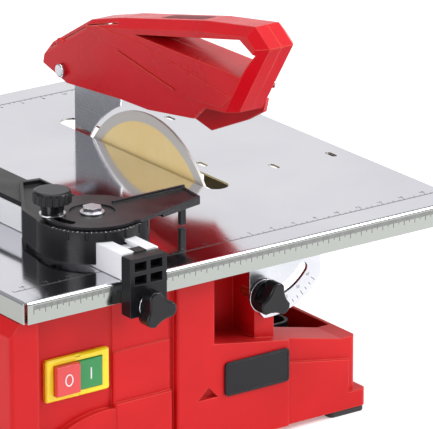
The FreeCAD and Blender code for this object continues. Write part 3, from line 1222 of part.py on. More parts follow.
def pieces():
    """Every node of the machine, by name."""
    quadrants = front_and_rear(make_quadrant())
    tilt_knobs = front_and_rear(make_tilt_knob())
    tilt_studs = front_and_rear(make_tilt_stud())
    clamp_blocks = front_and_rear(make_clamp_block())
    fence_knobs = front_and_rear(make_fence_knob())
    fence_studs = front_and_rear(make_fence_stud())
    guard_shells = make_guard_shells()
    return {
        "table_top": make_table(),
        "front_quadrant": quadrants[0],
        "rear_quadrant": quadrants[1],
        "pivot_pins": both(make_pivot_pin),
        "housing": make_housing(),
        "motor_cover": make_motor_cover(),
        "cover_screws": group(make_cover_screws()),
        "pivot_bushes": both(make_pivot_bush),
        "clamp_inserts": both(make_clamp_insert),
        "water_tub": make_tub(),
        "drain_plug": make_drain_plug(),
        "feet": group(make_feet()),
        "foot_screws": group(make_foot_screws()),
        "cable_gland": make_gland(),
        "label_plate": make_label(),
        "switch_plate": make_switch_plate(),
        "switch_body": make_switch_body(),
        "stop_button": make_button(-1, STOP_PROUD),
        "start_button": make_button(1, START_PROUD),
        "motor_can": make_motor_can(),
        "motor_shield": make_motor_shield(),
        "motor_bearings": group(make_bearings()),
        "shaft_seal": make_seal(),
        "stator": make_stator(),
        "stator_windings": group(make_windings()),
        "motor_screws": group(make_motor_screws()),
        "capacitor": make_capacitor(),
        "motor_shaft": make_shaft(),
        "rotor": make_rotor(),
        "cooling_fan": make_fan(),
        "inner_flange": make_inner_flange(),
        "blade": make_blade(),
        "outer_flange": make_outer_flange(),
        "arbor_nut": make_arbor_nut(),
        "riving_knife": make_knife(),
        "knife_bracket": make_knife_bracket(),
        "knife_screws": group(make_knife_screws()),
        "guard_left_shell": guard_shells[0],
        "guard_right_shell": guard_shells[1],
        "guard_screws": group(make_guard_screws()),
        "guard_bolt": make_guard_bolt(),
        "guard_nut": make_guard_nut(),
        "guard_spacers": group(make_guard_spacers()),
        "front_tilt_knob": tilt_knobs[0],
        "rear_tilt_knob": tilt_knobs[1],
        "front_tilt_stud": tilt_studs[0],
        "rear_tilt_stud": tilt_studs[1],
        "fence_rail": make_rail(),
        "front_clamp_block": clamp_blocks[0],
        "rear_clamp_block": clamp_blocks[1],
        "front_fence_knob": fence_knobs[0],
        "rear_fence_knob": fence_knobs[1],
        "front_fence_stud": fence_studs[0],
        "rear_fence_stud": fence_studs[1],
        "stop_shoe": make_shoe(),
        "stop_head": make_stop_head(),
        "stop_pivot_screw": make_pivot_screw(),
        "stop_knob": make_stop_knob(),
        "stop_stud": make_stop_stud(),
        "stop_washer": make_stop_washer(),
    }


def footprint_middle(shapes):
    """Middle of the whole machine in plan, which becomes the origin."""
    bounds = FreeCAD.BoundBox()
    for shape in shapes:
        bounds.add(shape.optimalBoundingBox(False))
    return V(bounds.Center.x, bounds.Center.y, 0)


def main():
    """Build every piece and write one STEP file for each."""
    os.makedirs("parts", exist_ok=True)
    nodes = pieces()
    middle = footprint_middle(nodes.values())
    print("origin over the table's middle at", [round(value, 3) for value in (-middle.x, -middle.y)])
    for name, shape in nodes.items():
        shape.translate(V(0, 0, 0) - middle)
        solids = shape.Solids
        print(name, "solids", len(solids), "valid", shape.isValid(), "volume", round(shape.Volume))
        shape.exportStep("parts/" + name + ".step")


main()
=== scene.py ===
"""Looks of the table-top tile cutter: finishes for every part, its scales, symbols and trim, and the studio.

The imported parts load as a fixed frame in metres, X to the right, Y to the back, Z up. Each sub-assembly is
a class that dresses its own parts and adds its own fine pieces, which ride on the part's body.
"""

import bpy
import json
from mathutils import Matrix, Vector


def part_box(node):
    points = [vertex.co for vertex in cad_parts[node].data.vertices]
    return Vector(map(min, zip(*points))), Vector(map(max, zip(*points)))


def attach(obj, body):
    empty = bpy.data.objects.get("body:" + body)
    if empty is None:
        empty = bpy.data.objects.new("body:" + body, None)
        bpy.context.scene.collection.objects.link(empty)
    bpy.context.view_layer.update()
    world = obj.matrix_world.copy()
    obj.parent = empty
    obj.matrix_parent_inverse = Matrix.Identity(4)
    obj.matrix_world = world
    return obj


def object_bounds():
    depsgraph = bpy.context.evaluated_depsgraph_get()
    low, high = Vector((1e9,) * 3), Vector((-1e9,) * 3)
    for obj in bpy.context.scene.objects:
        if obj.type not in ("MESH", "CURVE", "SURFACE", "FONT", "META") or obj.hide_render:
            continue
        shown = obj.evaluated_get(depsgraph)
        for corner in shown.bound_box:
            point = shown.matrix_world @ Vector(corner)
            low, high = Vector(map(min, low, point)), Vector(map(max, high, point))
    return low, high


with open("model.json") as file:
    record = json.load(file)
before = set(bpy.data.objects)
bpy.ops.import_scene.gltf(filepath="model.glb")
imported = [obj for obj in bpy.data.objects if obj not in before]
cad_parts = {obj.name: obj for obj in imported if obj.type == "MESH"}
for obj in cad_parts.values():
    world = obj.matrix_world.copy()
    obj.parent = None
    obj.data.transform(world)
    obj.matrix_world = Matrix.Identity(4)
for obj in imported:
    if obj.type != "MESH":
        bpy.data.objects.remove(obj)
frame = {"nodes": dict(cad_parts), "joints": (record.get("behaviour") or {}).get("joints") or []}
CAD_BOX = [list(corner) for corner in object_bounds()]

import json
import logging
import math
from dataclasses import dataclass, field
from enum import Enum

import bpy
import numpy as np
from bpy.types import Material, Node, NodeSocket, NodeTree, Object
from mathutils import Vector

LOG = logging.getLogger("tile_cutter")
MM = 0.001
X_AXIS, Y_AXIS, Z_AXIS = np.eye(3)

RING_STEPS, TUBE_STEPS = 48, 10  # points round a torus and round its section
BEAD_STEPS = 8  # points round a bead's section
THREAD_STEPS = 16  # points along each turn of a thread
THREAD_FADE = 2.0  # angle over which a thread's ends run out, in radians
THREAD_SECTION = ((-0.06, -0.42), (0.10, 0.0), (-0.06, 0.42))  # share of the reach, and of the pitch
THREAD_REACH = 0.6  # of the shank's radius
SUNK = 0.2 * MM  # how far a raised panel's foot lies under its face
NUMBER_EXTRUDE = 0.02 * MM  # a number's thickness to either side of its plane


# ---- meshes -------------------------------------------------------------------------------------
def make_object(name: str, vertices: np.ndarray, faces: np.ndarray, smooth: bool = False) -> Object:
    """Put worked-out vertices and faces into a new object at the origin.

    Args:
        name: Name of the piece.
        vertices: Array of n points.
        faces: Array of rows of corner numbers, all rows equally long.
        smooth: Whether the faces are shaded smooth.

    Returns:
        The new object, linked to the scene.
    """
    mesh = bpy.data.meshes.new(name)
    mesh.from_pydata(vertices.reshape(-1, 3).tolist(), [], faces.tolist())
    mesh.update()
    mesh.polygons.foreach_set("use_smooth", np.full(len(mesh.polygons), smooth))
    piece = bpy.data.objects.new(name, mesh)
    bpy.context.scene.collection.objects.link(piece)
    return piece


def blocks(name: str, centre: np.ndarray, along: np.ndarray, across: np.ndarray, out: np.ndarray) -> Object:
    """Many small closed blocks as one piece.

    A block's eight corners are its centre plus or minus each of its three half-length vectors.

    Args:
        name: Name of the piece.
        centre: Array (n, 3) of the blocks' centres.
        along: Half vectors (n, 3) or (3,) along each block.
        across: Half vectors across each block.
        out: Half vectors out of the surface.

    Returns:
        The new object.
    """
    signs = np.array([(-1, -1, -1), (1, -1, -1), (1, 1, -1), (-1, 1, -1),
                      (-1, -1, 1), (1, -1, 1), (1, 1, 1), (-1, 1, 1)], float)
    halves = np.stack([np.broadcast_to(v, centre.shape) for v in (along, across, out)], axis=1)
    corners = centre[:, None, :] + np.einsum("ks,nsd->nkd", signs, halves)
    right_handed = np.einsum("nd,nd->n", np.cross(halves[:, 0], halves[:, 1]), halves[:, 2]) > 0
    outward = np.array([(0, 3, 2, 1), (4, 5, 6, 7), (0, 1, 5, 4),
                        (1, 2, 6, 5), (2, 3, 7, 6), (3, 0, 4, 7)])
    faces = np.where(right_handed[:, None, None], outward[None], outward[None, :, ::-1])
    faces = (faces + 8 * np.arange(len(centre))[:, None, None]).reshape(-1, 4)
    return make_object(name, corners, faces)


def closed_grid(rows: int, columns: int) -> np.ndarray:
    """Faces of a grid of points whose rows and columns both join up, like a torus.

    Args:
        rows: Points along the path.
        columns: Points around the section.

    Returns:
        Array of four-cornered faces.
    """
    i, j = np.meshgrid(np.arange(rows), np.arange(columns), indexing="ij")
    i2, j2 = (i + 1) % rows, (j + 1) % columns
    faces = np.stack([i * columns + j, i2 * columns + j, i2 * columns + j2, i * columns + j2], -1)
    return faces.reshape(-1, 4)


def loop_bead(name: str, path: np.ndarray, out: np.ndarray, width: float, height: float) -> Object:
    """A raised bead along a closed path on a flat face.

    Each section is a half-ellipse: the path point, plus the sideways direction times half the width times
    the cosine of the section angle, plus the outward direction times the height times its sine. Its flat
    side lies a tenth of the height under the face. The sideways direction is the outward direction crossed
    with the path's own.

    Args:
        name: Name of the piece.
        path: Array (n, 3) of the points of a closed path.
        out: Outward direction of the face.
        width: Full width of the bead.
        height: How far it stands out.

    Returns:
        The new object.
    """
    ahead = np.roll(path, -1, axis=0) - np.roll(path, 1, axis=0)
    ahead /= np.linalg.norm(ahead, axis=1, keepdims=True)
    side = np.cross(out, ahead)
    angle = np.linspace(0, 2 * np.pi, BEAD_STEPS, endpoint=False)
    rise = np.maximum(np.sin(angle), -0.1)
    points = (path[:, None, :] + side[:, None, :] * (np.cos(angle) * width / 2)[None, :, None]
              + np.asarray(out, float)[None, None, :] * (rise * height)[None, :, None])
    return make_object(name, points, closed_grid(len(path), len(angle))[:, ::-1], smooth=True)


def smooth_loop(corners: np.ndarray, per_side: int, roundness: float) -> np.ndarray:
    """A closed path through the middles of an outline's sides, rounded at its corners.

    Each corner gives a quadratic curve: a point at t is (1-t)^2 times the start, plus 2t(1-t) times the
    corner, plus t^2 times the end, where start and end lie a share of the side away from the corner.

    Args:
        corners: Array (n, 3) of the outline's corners.
        per_side: Points on each rounded corner.
        roundness: Share of each side that its corner curve takes, up to a half.

    Returns:
        Array of path points.
    """
    before, after = np.roll(corners, 1, axis=0), np.roll(corners, -1, axis=0)
    start = corners + (before - corners) * roundness
    end = corners + (after - corners) * roundness
    t = np.linspace(0, 1, per_side)[None, :, None]
    curve = (1 - t) ** 2 * start[:, None] + 2 * t * (1 - t) * corners[:, None] + t ** 2 * end[:, None]
    return curve.reshape(-1, 3)


def torus(name: str, centre: np.ndarray, u: np.ndarray, v: np.ndarray, radius: np.ndarray,
          tube: float) -> Object:
    """A round ring, or an oval one, in the plane of two directions.

    A point is the centre, plus the ring direction times the ring radius plus the tube radius times the
    cosine of the tube angle, plus the plane's normal times the tube radius times its sine.

    Args:
        name: Name of the piece.
        centre: Middle of the ring.
        u: First direction of its plane.
        v: Second direction of its plane.
        radius: Radii along the two directions.
        tube: Radius of the ring's section.

    Returns:
        The new object.
    """
    a = np.linspace(0, 2 * np.pi, RING_STEPS, endpoint=False)[:, None, None]
    b = np.linspace(0, 2 * np.pi, TUBE_STEPS, endpoint=False)[None, :, None]
    ring = np.cos(a) * u * radius[0] + np.sin(a) * v * radius[1]
    outward = np.cos(a) * u + np.sin(a) * v
    points = centre + ring + outward * np.cos(b) * tube + np.cross(u, v) * np.sin(b) * tube
    return make_object(name, points, closed_grid(RING_STEPS, TUBE_STEPS), smooth=True)


def screw_thread(name: str, start: np.ndarray, axis: np.ndarray, length: float, radius: float,
                 pitch: float) -> Object:
    """The thread of a screw as one ridge wound round its shank.

    Along the helix angle t the centre of the ridge is at the radius, turned by t, and pitch times t over
    a full turn along the axis. Its section is a triangle with its tip outside, and both ends run out flat.

    Args:
        name: Name of the piece.
        start: Where the thread starts on the screw's axis.
        axis: Direction of the screw.
        length: Threaded length.
        radius: Radius of the shank.
        pitch: Distance from one ridge to the next.

    Returns:
        The new object.
    """
    axis = np.asarray(axis, float)
    u = np.cross(axis, (0.3, 0.2, 1.0))
    u /= np.linalg.norm(u)
    v = np.cross(axis, u)
    turns = length / pitch
    steps = int(turns * THREAD_STEPS)
    t = np.linspace(0, turns * 2 * np.pi, steps)[:, None, None]
    fade = np.clip(np.minimum(t, turns * 2 * np.pi - t) / THREAD_FADE, 0, 1)
    section = np.array(THREAD_SECTION)[None] * (radius * THREAD_REACH, pitch)
    reach = radius + section[..., 0:1] * fade
    shift = t / (2 * np.pi) * pitch + section[..., 1:2] * fade
    points = start + (np.cos(t) * u + np.sin(t) * v) * reach + axis * shift
    i, j = np.meshgrid(np.arange(steps - 1), np.arange(3), indexing="ij")
    faces = np.stack([i * 3 + j, i * 3 + (j + 1) % 3, (i + 1) * 3 + (j + 1) % 3, (i + 1) * 3 + j], -1)
    return make_object(name, points, faces.reshape(-1, 4), smooth=True)


def raised_panel(name: str, outline: np.ndarray, out: np.ndarray, height: float, bevel: float) -> Object:
    """A low flat panel with sloping sides on a flat face.

    The foot is the outline, slightly sunk. The top is the outline drawn in towards its middle by the bevel
    and moved out by the height. Both are closed by triangles to their own middles.

    Args:
        name: Name of the piece.
        outline: Array (n, 3) of the corners on the face.
        out: Outward direction of the face.
        height: How far the panel stands out.
        bevel: How far its top is drawn in.

    Returns:
        The new object.
    """
    out = np.asarray(out, float)
    middle = outline.mean(axis=0)
    inward = middle - outline
    inward /= np.linalg.norm(inward, axis=1, keepdims=True)
    foot, top = outline - out * SUNK, outline + inward * bevel + out * height
    points = np.concatenate([foot, top, (middle - out * SUNK)[None], (middle + out * height)[None]])
    n = len(outline)
    i = np.arange(n)
    j = (i + 1) % n
    faces = np.concatenate([np.stack([i, j, j + n], 1), np.stack([i, j + n, i + n], 1),
                            np.stack([i + n, j + n, np.full(n, 2 * n + 1)], 1),
                            np.stack([j, i, np.full(n, 2 * n)], 1)])
    turning = np.cross(outline[1] - outline[0], middle - outline[0]) @ out
    return make_object(name, points, faces if turning > 0 else faces[:, ::-1])


def numerals(name: str, words: list[str], places: np.ndarray, right: np.ndarray, up: np.ndarray,
             size: float) -> Object:
    """Small raised numbers of a scale as one piece.

    Each number's own x and y become steps along its right and up directions from its place, and its
    thickness is along their cross product.

    Args:
        name: Name of the piece.
        words: The numbers.
        places: Array (n, 3) of their middles.
        right: Reading directions (n, 3) or (3,).
        up: Upward directions (n, 3) or (3,).
        size: Letter height.

    Returns:
        The new object.
    """
    right, up = (np.broadcast_to(np.asarray(v, float), places.shape) for v in (right, up))
    vertices, faces, count = [], [], 0
    for word, place, x_axis, y_axis in zip(words, places, right, up):
        curve = bpy.data.curves.new(name + "_word", "FONT")
        curve.body = word
        curve.size = size
        curve.align_x = "CENTER"
        curve.align_y = "CENTER"
        curve.extrude = NUMBER_EXTRUDE
        curve.resolution_u = 3
        holder = bpy.data.objects.new(name + "_word", curve)
        mesh = bpy.data.meshes.new_from_object(holder)
        points = np.empty(len(mesh.vertices) * 3)
        mesh.vertices.foreach_get("co", points)
        points = points.reshape(-1, 3) @ np.stack([x_axis, y_axis, np.cross(x_axis, y_axis)]) + place
        vertices.append(points)
        corners = np.empty(len(mesh.loops), dtype=np.int32)
        mesh.loops.foreach_get("vertex_index", corners)
        starts = np.empty(len(mesh.polygons), dtype=np.int32)
        mesh.polygons.foreach_get("loop_start", starts)
        faces += [face.tolist() for face in np.split(corners + count, starts[1:])]
        count += len(points)
        bpy.data.objects.remove(holder)
        bpy.data.curves.remove(curve)
        bpy.data.meshes.remove(mesh)
    mesh = bpy.data.meshes.new(name)
    mesh.from_pydata(np.concatenate(vertices).tolist(), [], faces)
    piece = bpy.data.objects.new(name, mesh)
    bpy.context.scene.collection.objects.link(piece)
    return piece


def corners_of(node: str) -> tuple[np.ndarray, np.ndarray]:
    """Lowest and highest corner of a part, as arrays."""
    low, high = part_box(node)
    return np.array(low), np.array(high)


def joint_place(name: str) -> np.ndarray:
    """Where a hinge of the frame sits."""
    return np.array(next(joint["pos_m"] for joint in frame["joints"] if joint["name"] == name))


# ---- shader node groups -------------------------------------------------------------------------
class Effect(Enum):
    """The shared surface effects, by the name of their node group."""

    ROUND_EDGE = "rounded_edge"
    GRAIN = "moulded_grain"
    PATCHES = "soft_patches"
    BRUSHING = "brushed_lines"
    DUST = "settled_dust"


@dataclass
class GroupMaker:
    """Builds each shared effect once, as a shader node group with named inputs and outputs."""

    made: dict[Effect, NodeTree] = field(default_factory=dict)

    def get(self, effect: Effect) -> NodeTree:
        """The node group of an effect, built the first time it is asked for."""
        if effect not in self.made:
            builders = {Effect.ROUND_EDGE: self._round_edge, Effect.GRAIN: self._grain,
                        Effect.PATCHES: self._patches, Effect.BRUSHING: self._brushing,
                        Effect.DUST: self._dust}
            self.made[effect] = builders[effect]()
        return self.made[effect]

    @staticmethod
    def _start(effect: Effect, inputs: dict[str, float], outputs: dict[str, str]) -> tuple:
        """An empty group with its sockets.

        Args:
            effect: Which effect the group is for.
            inputs: Names and default values of its number inputs.
            outputs: Names and socket types of its outputs.

        Returns:
            The tree, its input node and its output node.
        """
        tree = bpy.data.node_groups.new(effect.value, "ShaderNodeTree")
        for name, value in inputs.items():
            socket = tree.interface.new_socket(name=name, in_out="INPUT", socket_type="NodeSocketFloat")
            socket.default_value = value
        for name, kind in outputs.items():
            tree.interface.new_socket(name=name, in_out="OUTPUT", socket_type=kind)
        return tree, tree.nodes.new("NodeGroupInput"), tree.nodes.new("NodeGroupOutput")

    def _round_edge(self) -> NodeTree:
        """Rounded edge normals, and a mask that is one where the edge turns away from the face."""
        tree, source, sink = self._start(Effect.ROUND_EDGE, {"Radius": 0.0006},
                                         {"Normal": "NodeSocketVector", "Edge": "NodeSocketFloat"})
        bevel = add(tree, "Bevel")
        bevel.samples = 6
        face = add(tree, "NewGeometry")
        dot = math_node(tree, "DOT_PRODUCT", vector=True)
        ramp = add(tree, "MapRange", {"From Min": 0.995, "From Max": 0.80})
        wire(tree, (source, "Radius", bevel, "Radius"), (bevel, 0, dot, 0), (face, "Normal", dot, 1),
             (dot, "Value", ramp, "Value"), (bevel, 0, sink, "Normal"), (ramp, 0, sink, "Edge"))
        return tree

    def _grain(self) -> NodeTree:
        """Fine pebbled height of spark-eroded moulds: fine noise with small flat cells between."""
        tree, source, sink = self._start(Effect.GRAIN, {"Scale": 1800.0}, {"Height": "NodeSocketFloat"})
        place = add(tree, "TexCoord")
        noise = add(tree, "TexNoise", {"Detail": 3.0})
        cells = add(tree, "TexVoronoi")
        both = math_node(tree, "ADD")
        for texture in (noise, cells):
            wire(tree, (place, "Object", texture, "Vector"), (source, "Scale", texture, "Scale"))
        wire(tree, (noise, 0, both, 0), (cells, "Distance", both, 1), (both, 0, sink, "Height"))
        return tree

    def _patches(self) -> NodeTree:
        """Slow variation across a surface: broad noise spread over the whole range."""
        tree, source, sink = self._start(Effect.PATCHES, {"Scale": 14.0}, {"Value": "NodeSocketFloat"})
        place = add(tree, "TexCoord")
        noise = add(tree, "TexNoise", {"Detail": 5.0, "Distortion": 0.4})
        spread = add(tree, "MapRange", {"From Min": 0.3, "From Max": 0.7})
        wire(tree, (place, "Object", noise, "Vector"), (source, "Scale", noise, "Scale"),
             (noise, 0, spread, "Value"), (spread, 0, sink, "Value"))
        return tree

    def _brushing(self) -> NodeTree:
        """Fine lines along Y: noise stretched along Y by an input."""
        tree, source, sink = self._start(Effect.BRUSHING, {"Scale": 900.0, "Stretch": 0.02},
                                         {"Value": "NodeSocketFloat"})
        place = add(tree, "TexCoord")
        split = add(tree, "SeparateXYZ")
        shrink = math_node(tree, "MULTIPLY")
        merge = add(tree, "CombineXYZ")
        noise = add(tree, "TexNoise", {"Detail": 2.0})
        wire(tree, (place, "Object", split, 0), (split, "Y", shrink, 0), (source, "Stretch", shrink, 1),
             (split, "X", merge, "X"), (shrink, 0, merge, "Y"), (split, "Z", merge, "Z"),
             (merge, 0, noise, "Vector"), (source, "Scale", noise, "Scale"), (noise, 0, sink, "Value"))
        return tree

    def _dust(self) -> NodeTree:
        """Thin stone dust on faces that look up: the face's upward share, broken up by noise."""
        tree, source, sink = self._start(Effect.DUST, {"Amount": 0.2}, {"Mask": "NodeSocketFloat"})
        face = add(tree, "NewGeometry")
        split = add(tree, "SeparateXYZ")
        upward = add(tree, "MapRange", {"From Min": 0.35})
        place = add(tree, "TexCoord")
        noise = add(tree, "TexNoise", {"Scale": 60.0, "Detail": 6.0})
        broken, scaled = math_node(tree, "MULTIPLY"), math_node(tree, "MULTIPLY")
        wire(tree, (face, "Normal", split, 0), (split, "Z", upward, "Value"),
             (place, "Object", noise, "Vector"), (upward, 0, broken, 0), (noise, 0, broken, 1),
             (broken, 0, scaled, 0), (source, "Amount", scaled, 1), (scaled, 0, sink, "Mask"))
        return tree


def link(tree: NodeTree, source: NodeSocket, target: NodeSocket) -> None:
    """Join two sockets."""
    tree.links.new(source, target)


def wire(tree: NodeTree, *joins: tuple) -> None:
    """Join nodes: each join is a node and its output, then a node and its input, by name or number."""
    for source, output, target, socket in joins:
        tree.links.new(source.outputs[output], target.inputs[socket])


def add(tree: NodeTree, kind: str, values: dict | None = None) -> Node:
    """Put a shader node of a kind into a tree, with values on its named inputs."""
    node = tree.nodes.new("ShaderNode" + kind)
    for name, value in (values or {}).items():
        node.inputs[name].default_value = value
    return node


def math_node(tree: NodeTree, operation: str, vector: bool = False) -> Node:
    """A math node, or a vector math node, set to an operation."""
    node = tree.nodes.new("ShaderNodeVectorMath" if vector else "ShaderNodeMath")
    node.operation = operation
    return node


GROUPS = GroupMaker()
COAT_ROUGHNESS = 0.08
DUST_COLOUR = (0.62, 0.58, 0.52)
BRUSH_STRETCH = 0.01


# ---- finishes -----------------------------------------------------------------------------------
@dataclass(frozen=True)
class Finish:
    """A surface finish, with its colours, gloss and fine relief."""

    name: str
    colour: tuple[float, float, float]
    second: tuple[float, float, float]  # colour of the slow patches
    # Colour along the edges: wear, and a painted highlight where the rounded edges catch the light.
    worn: tuple[float, float, float]  # colour along the edges
    roughness: tuple[float, float] = (0.35, 0.45)
    metallic: float = 0.0
    coat: float = 0.0
    specular: float = 0.5
    glow: float = 0.0  # share of its own light, for the studio floor only
    # Share of the edge colour, which is wear and a painted highlight.
    wear: float = 0.4
    edge_radius: float = 0.7 * MM
    grain_scale: float = 1800.0
    grain_depth: float = 0.02 * MM
    patch_scale: float = 14.0
    brushed: float = 0.0
    dust: float = 0.0

    def material(self) -> Material:
        """The material of this finish, made once and then shared."""
        known = bpy.data.materials.get(self.name)
        return known if known else self._build()

    def _build(self) -> Material:
        """Wire the shared effects into one shader."""
        material = bpy.data.materials.new(self.name)
        material.use_nodes = True
        tree = material.node_tree
        shader = tree.nodes["Principled BSDF"]
        constants = {"Metallic": self.metallic, "Coat Weight": self.coat, "Coat Roughness": COAT_ROUGHNESS,
                     "Specular IOR Level": self.specular, "Emission Color": (1, 1, 1, 1),
                     "Emission Strength": self.glow}
        for name, value in constants.items():
            shader.inputs[name].default_value = value
        patches = self.place(tree, Effect.PATCHES, {"Scale": self.patch_scale})
        edge = self.place(tree, Effect.ROUND_EDGE, {"Radius": self.edge_radius})
        colour = self.mix(tree, self.colour, self.second)
        wire(tree, (patches, "Value", colour, 0))
        colour = self.patterned(tree, colour)
        # Mix in the edge colour: wear, and a painted highlight along the rounded edges.
        worn = self.mix(tree, None, self.worn)
        share = math_node(tree, "MULTIPLY")
        share.inputs[1].default_value = self.wear
        wire(tree, (edge, "Edge", share, 0), (share, 0, worn, 0), (colour, 2, worn, 6))
        last = worn
        if self.dust:
            dust = self.place(tree, Effect.DUST, {"Amount": self.dust})
            last = self.mix(tree, None, DUST_COLOUR)
            wire(tree, (dust, "Mask", last, 0), (worn, 2, last, 6))
        wire(tree, (last, 2, shader, "Base Color"))
        gloss = add(tree, "MapRange", {"To Min": self.roughness[0], "To Max": self.roughness[1]})
        height = self.place(tree, Effect.GRAIN, {"Scale": self.grain_scale}).outputs["Height"]
        if self.brushed:
            lines = self.place(tree, Effect.BRUSHING, {"Scale": self.grain_scale, "Stretch": BRUSH_STRETCH})
            height = lines.outputs["Value"]
            blend = math_node(tree, "MULTIPLY")
            link(tree, height, blend.inputs[0])
            wire(tree, (patches, "Value", blend, 1), (blend, 0, gloss, "Value"))
        else:
            wire(tree, (patches, "Value", gloss, "Value"))
        wire(tree, (gloss, 0, shader, "Roughness"))
        bump = add(tree, "Bump",
                   {"Strength": self.brushed if self.brushed else 1.0, "Distance": self.grain_depth})
        link(tree, height, bump.inputs["Height"])
        wire(tree, (edge, "Normal", bump, "Normal"), (bump, 0, shader, "Normal"))
        return material

    def patterned(self, tree: NodeTree, colour: Node) -> Node:
        """A finish with its own colour pattern overrides this and returns its mix node."""
        return colour

    @staticmethod
    def place(tree: NodeTree, effect: Effect, values: dict[str, float]) -> Node:
        """Put a shared effect into a material.

        Args:
            tree: The material's tree.
            effect: Which effect.
            values: Values of its named inputs.

        Returns:
            The group node.
        """
        node = add(tree, "Group")
        node.node_tree = GROUPS.get(effect)
        for name, value in values.items():
            node.inputs[name].default_value = value
        return node

    @staticmethod
    def mix(tree: NodeTree, first: tuple | None, second: tuple) -> Node:
        """A colour mix node: input 0 is the factor, 6 and 7 the colours, and output 2 the result."""
        node = add(tree, "Mix")
        node.data_type = "RGBA"
        if first:
            node.inputs[6].default_value = (*first, 1)
        node.inputs[7].default_value = (*second, 1)
        return node


@dataclass(frozen=True)
class BladeFinish(Finish):
    """Coated blade core with a bare diamond rim: the colour changes with the distance from the arbor."""

    arbor: tuple[float, float, float] = (0.0, 0.0, 0.0)
    rim_start: float = 0.08
    rim_colour: tuple[float, float, float] = (0.58, 0.57, 0.54)

    def patterned(self, tree: NodeTree, colour: Node) -> Node:
        """Rim colour beyond a radius, with a soft border."""
        place = add(tree, "TexCoord")
        moved = add(tree, "Mapping", {"Location": tuple(-value for value in self.arbor)})
        reach = math_node(tree, "LENGTH", vector=True)
        step = add(tree, "MapRange",
                   {"From Min": self.rim_start - 0.3 * MM, "From Max": self.rim_start + 0.3 * MM})
        rim = self.mix(tree, None, self.rim_colour)
        wire(tree, (place, "Object", moved, 0), (moved, 0, reach, 0), (reach, "Value", step, "Value"),
             (step, 0, rim, 0), (colour, 2, rim, 6))
        return rim


@dataclass(frozen=True)
class TableFinish(Finish):
    """Polished sheet, darker on the faces that stand upright, such as the folded rim: the colour changes with
    the upward share of the face.
    """

    rim: tuple[float, float, float] = (0.33, 0.345, 0.32)

    def patterned(self, tree: NodeTree, colour: Node) -> Node:
        """Rim colour on the faces that stand upright."""
        face = add(tree, "NewGeometry")
        split = add(tree, "SeparateXYZ")
        height = math_node(tree, "ABSOLUTE")
        step = add(tree, "MapRange", {"From Min": 0.55, "From Max": 0.25})
        mixed = self.mix(tree, None, self.rim)
        wire(tree, (face, "Normal", split, 0), (split, "Z", height, 0), (height, 0, step, "Value"),
             (step, 0, mixed, 0), (colour, 2, mixed, 6))
        return mixed


# On the two reds the pale salmon edge colour is mostly a painted highlight on the rounded top edges, with some
# wear.
RED_BODY = Finish("red_housing_plastic", (0.56, 0.006, 0.008), (0.47, 0.004, 0.006), (0.80, 0.09, 0.06),
                  roughness=(0.34, 0.46), coat=0.04, specular=0.18, wear=0.6, edge_radius=1.3 * MM,
                  grain_depth=0.012 * MM, dust=0.03)
RED_GUARD = Finish("red_guard_plastic", (0.58, 0.001, 0.008), (0.50, 0.001, 0.007), (0.85, 0.15, 0.08),
                   roughness=(0.20, 0.30), coat=0.06, specular=0.16, wear=0.6, edge_radius=1.2 * MM,
                   grain_depth=0.003 * MM, dust=0.02)
BLACK_PLASTIC = Finish("black_moulded_plastic", (0.006, 0.006, 0.008), (0.011, 0.011, 0.013),
                       (0.07, 0.07, 0.08), roughness=(0.26, 0.40), coat=0.02, specular=0.20, wear=0.45,
                       edge_radius=0.6 * MM, grain_depth=0.010 * MM, dust=0.05)
KNOB_BLACK = Finish("black_glossy_knob", (0.005, 0.005, 0.006), (0.009, 0.009, 0.010), (0.06, 0.06, 0.07),
                    roughness=(0.18, 0.28), coat=0.10, specular=0.22, wear=0.35, edge_radius=0.8 * MM,
                    grain_depth=0.003 * MM)
TABLE_STEEL = TableFinish("polished_table_sheet", (0.80, 0.795, 0.83), (0.73, 0.725, 0.765),
                          (0.80, 0.80, 0.81), roughness=(0.07, 0.20), metallic=1.0, wear=0.3,
                          edge_radius=0.5 * MM, grain_scale=700.0, grain_depth=0.004 * MM,
                          patch_scale=9.0, brushed=0.35, dust=0.06)
PLATED_STEEL = Finish("plated_sheet_steel", (0.60, 0.61, 0.63), (0.50, 0.51, 0.54), (0.82, 0.82, 0.83),
                      roughness=(0.24, 0.38), metallic=1.0, wear=0.4, edge_radius=0.4 * MM, grain_scale=500.0,
                      grain_depth=0.006 * MM, brushed=0.5)
FASTENER = Finish("bright_fasteners", (0.66, 0.66, 0.68), (0.55, 0.55, 0.58), (0.88, 0.88, 0.88),
                  roughness=(0.18, 0.30), metallic=1.0, wear=0.3, edge_radius=0.3 * MM,
                  grain_depth=0.004 * MM)
ANODISED = Finish("anodised_rail", (0.88, 0.88, 0.90), (0.82, 0.82, 0.85), (0.95, 0.95, 0.95),
                  roughness=(0.28, 0.40), metallic=0.2, wear=0.3, edge_radius=0.4 * MM, grain_scale=800.0,
                  grain_depth=0.006 * MM, brushed=0.5)
CAST_METAL = Finish("die_cast_metal", (0.48, 0.48, 0.49), (0.40, 0.40, 0.41), (0.70, 0.70, 0.70),
                    roughness=(0.40, 0.55), metallic=1.0, grain_scale=900.0, grain_depth=0.05 * MM)
LAMINATION = Finish("varnished_laminations", (0.12, 0.12, 0.13), (0.20, 0.19, 0.18), (0.40, 0.40, 0.40),
                    roughness=(0.30, 0.45), metallic=0.8, grain_scale=1500.0, grain_depth=0.03 * MM)
COPPER = Finish("enamelled_copper", (0.55, 0.20, 0.07), (0.42, 0.14, 0.05), (0.70, 0.33, 0.15),
                roughness=(0.22, 0.36), metallic=0.9, grain_scale=900.0, grain_depth=0.08 * MM)
BRASS = Finish("turned_brass", (0.65, 0.46, 0.16), (0.55, 0.38, 0.12), (0.80, 0.62, 0.28),
               roughness=(0.20, 0.32), metallic=1.0, edge_radius=0.3 * MM)
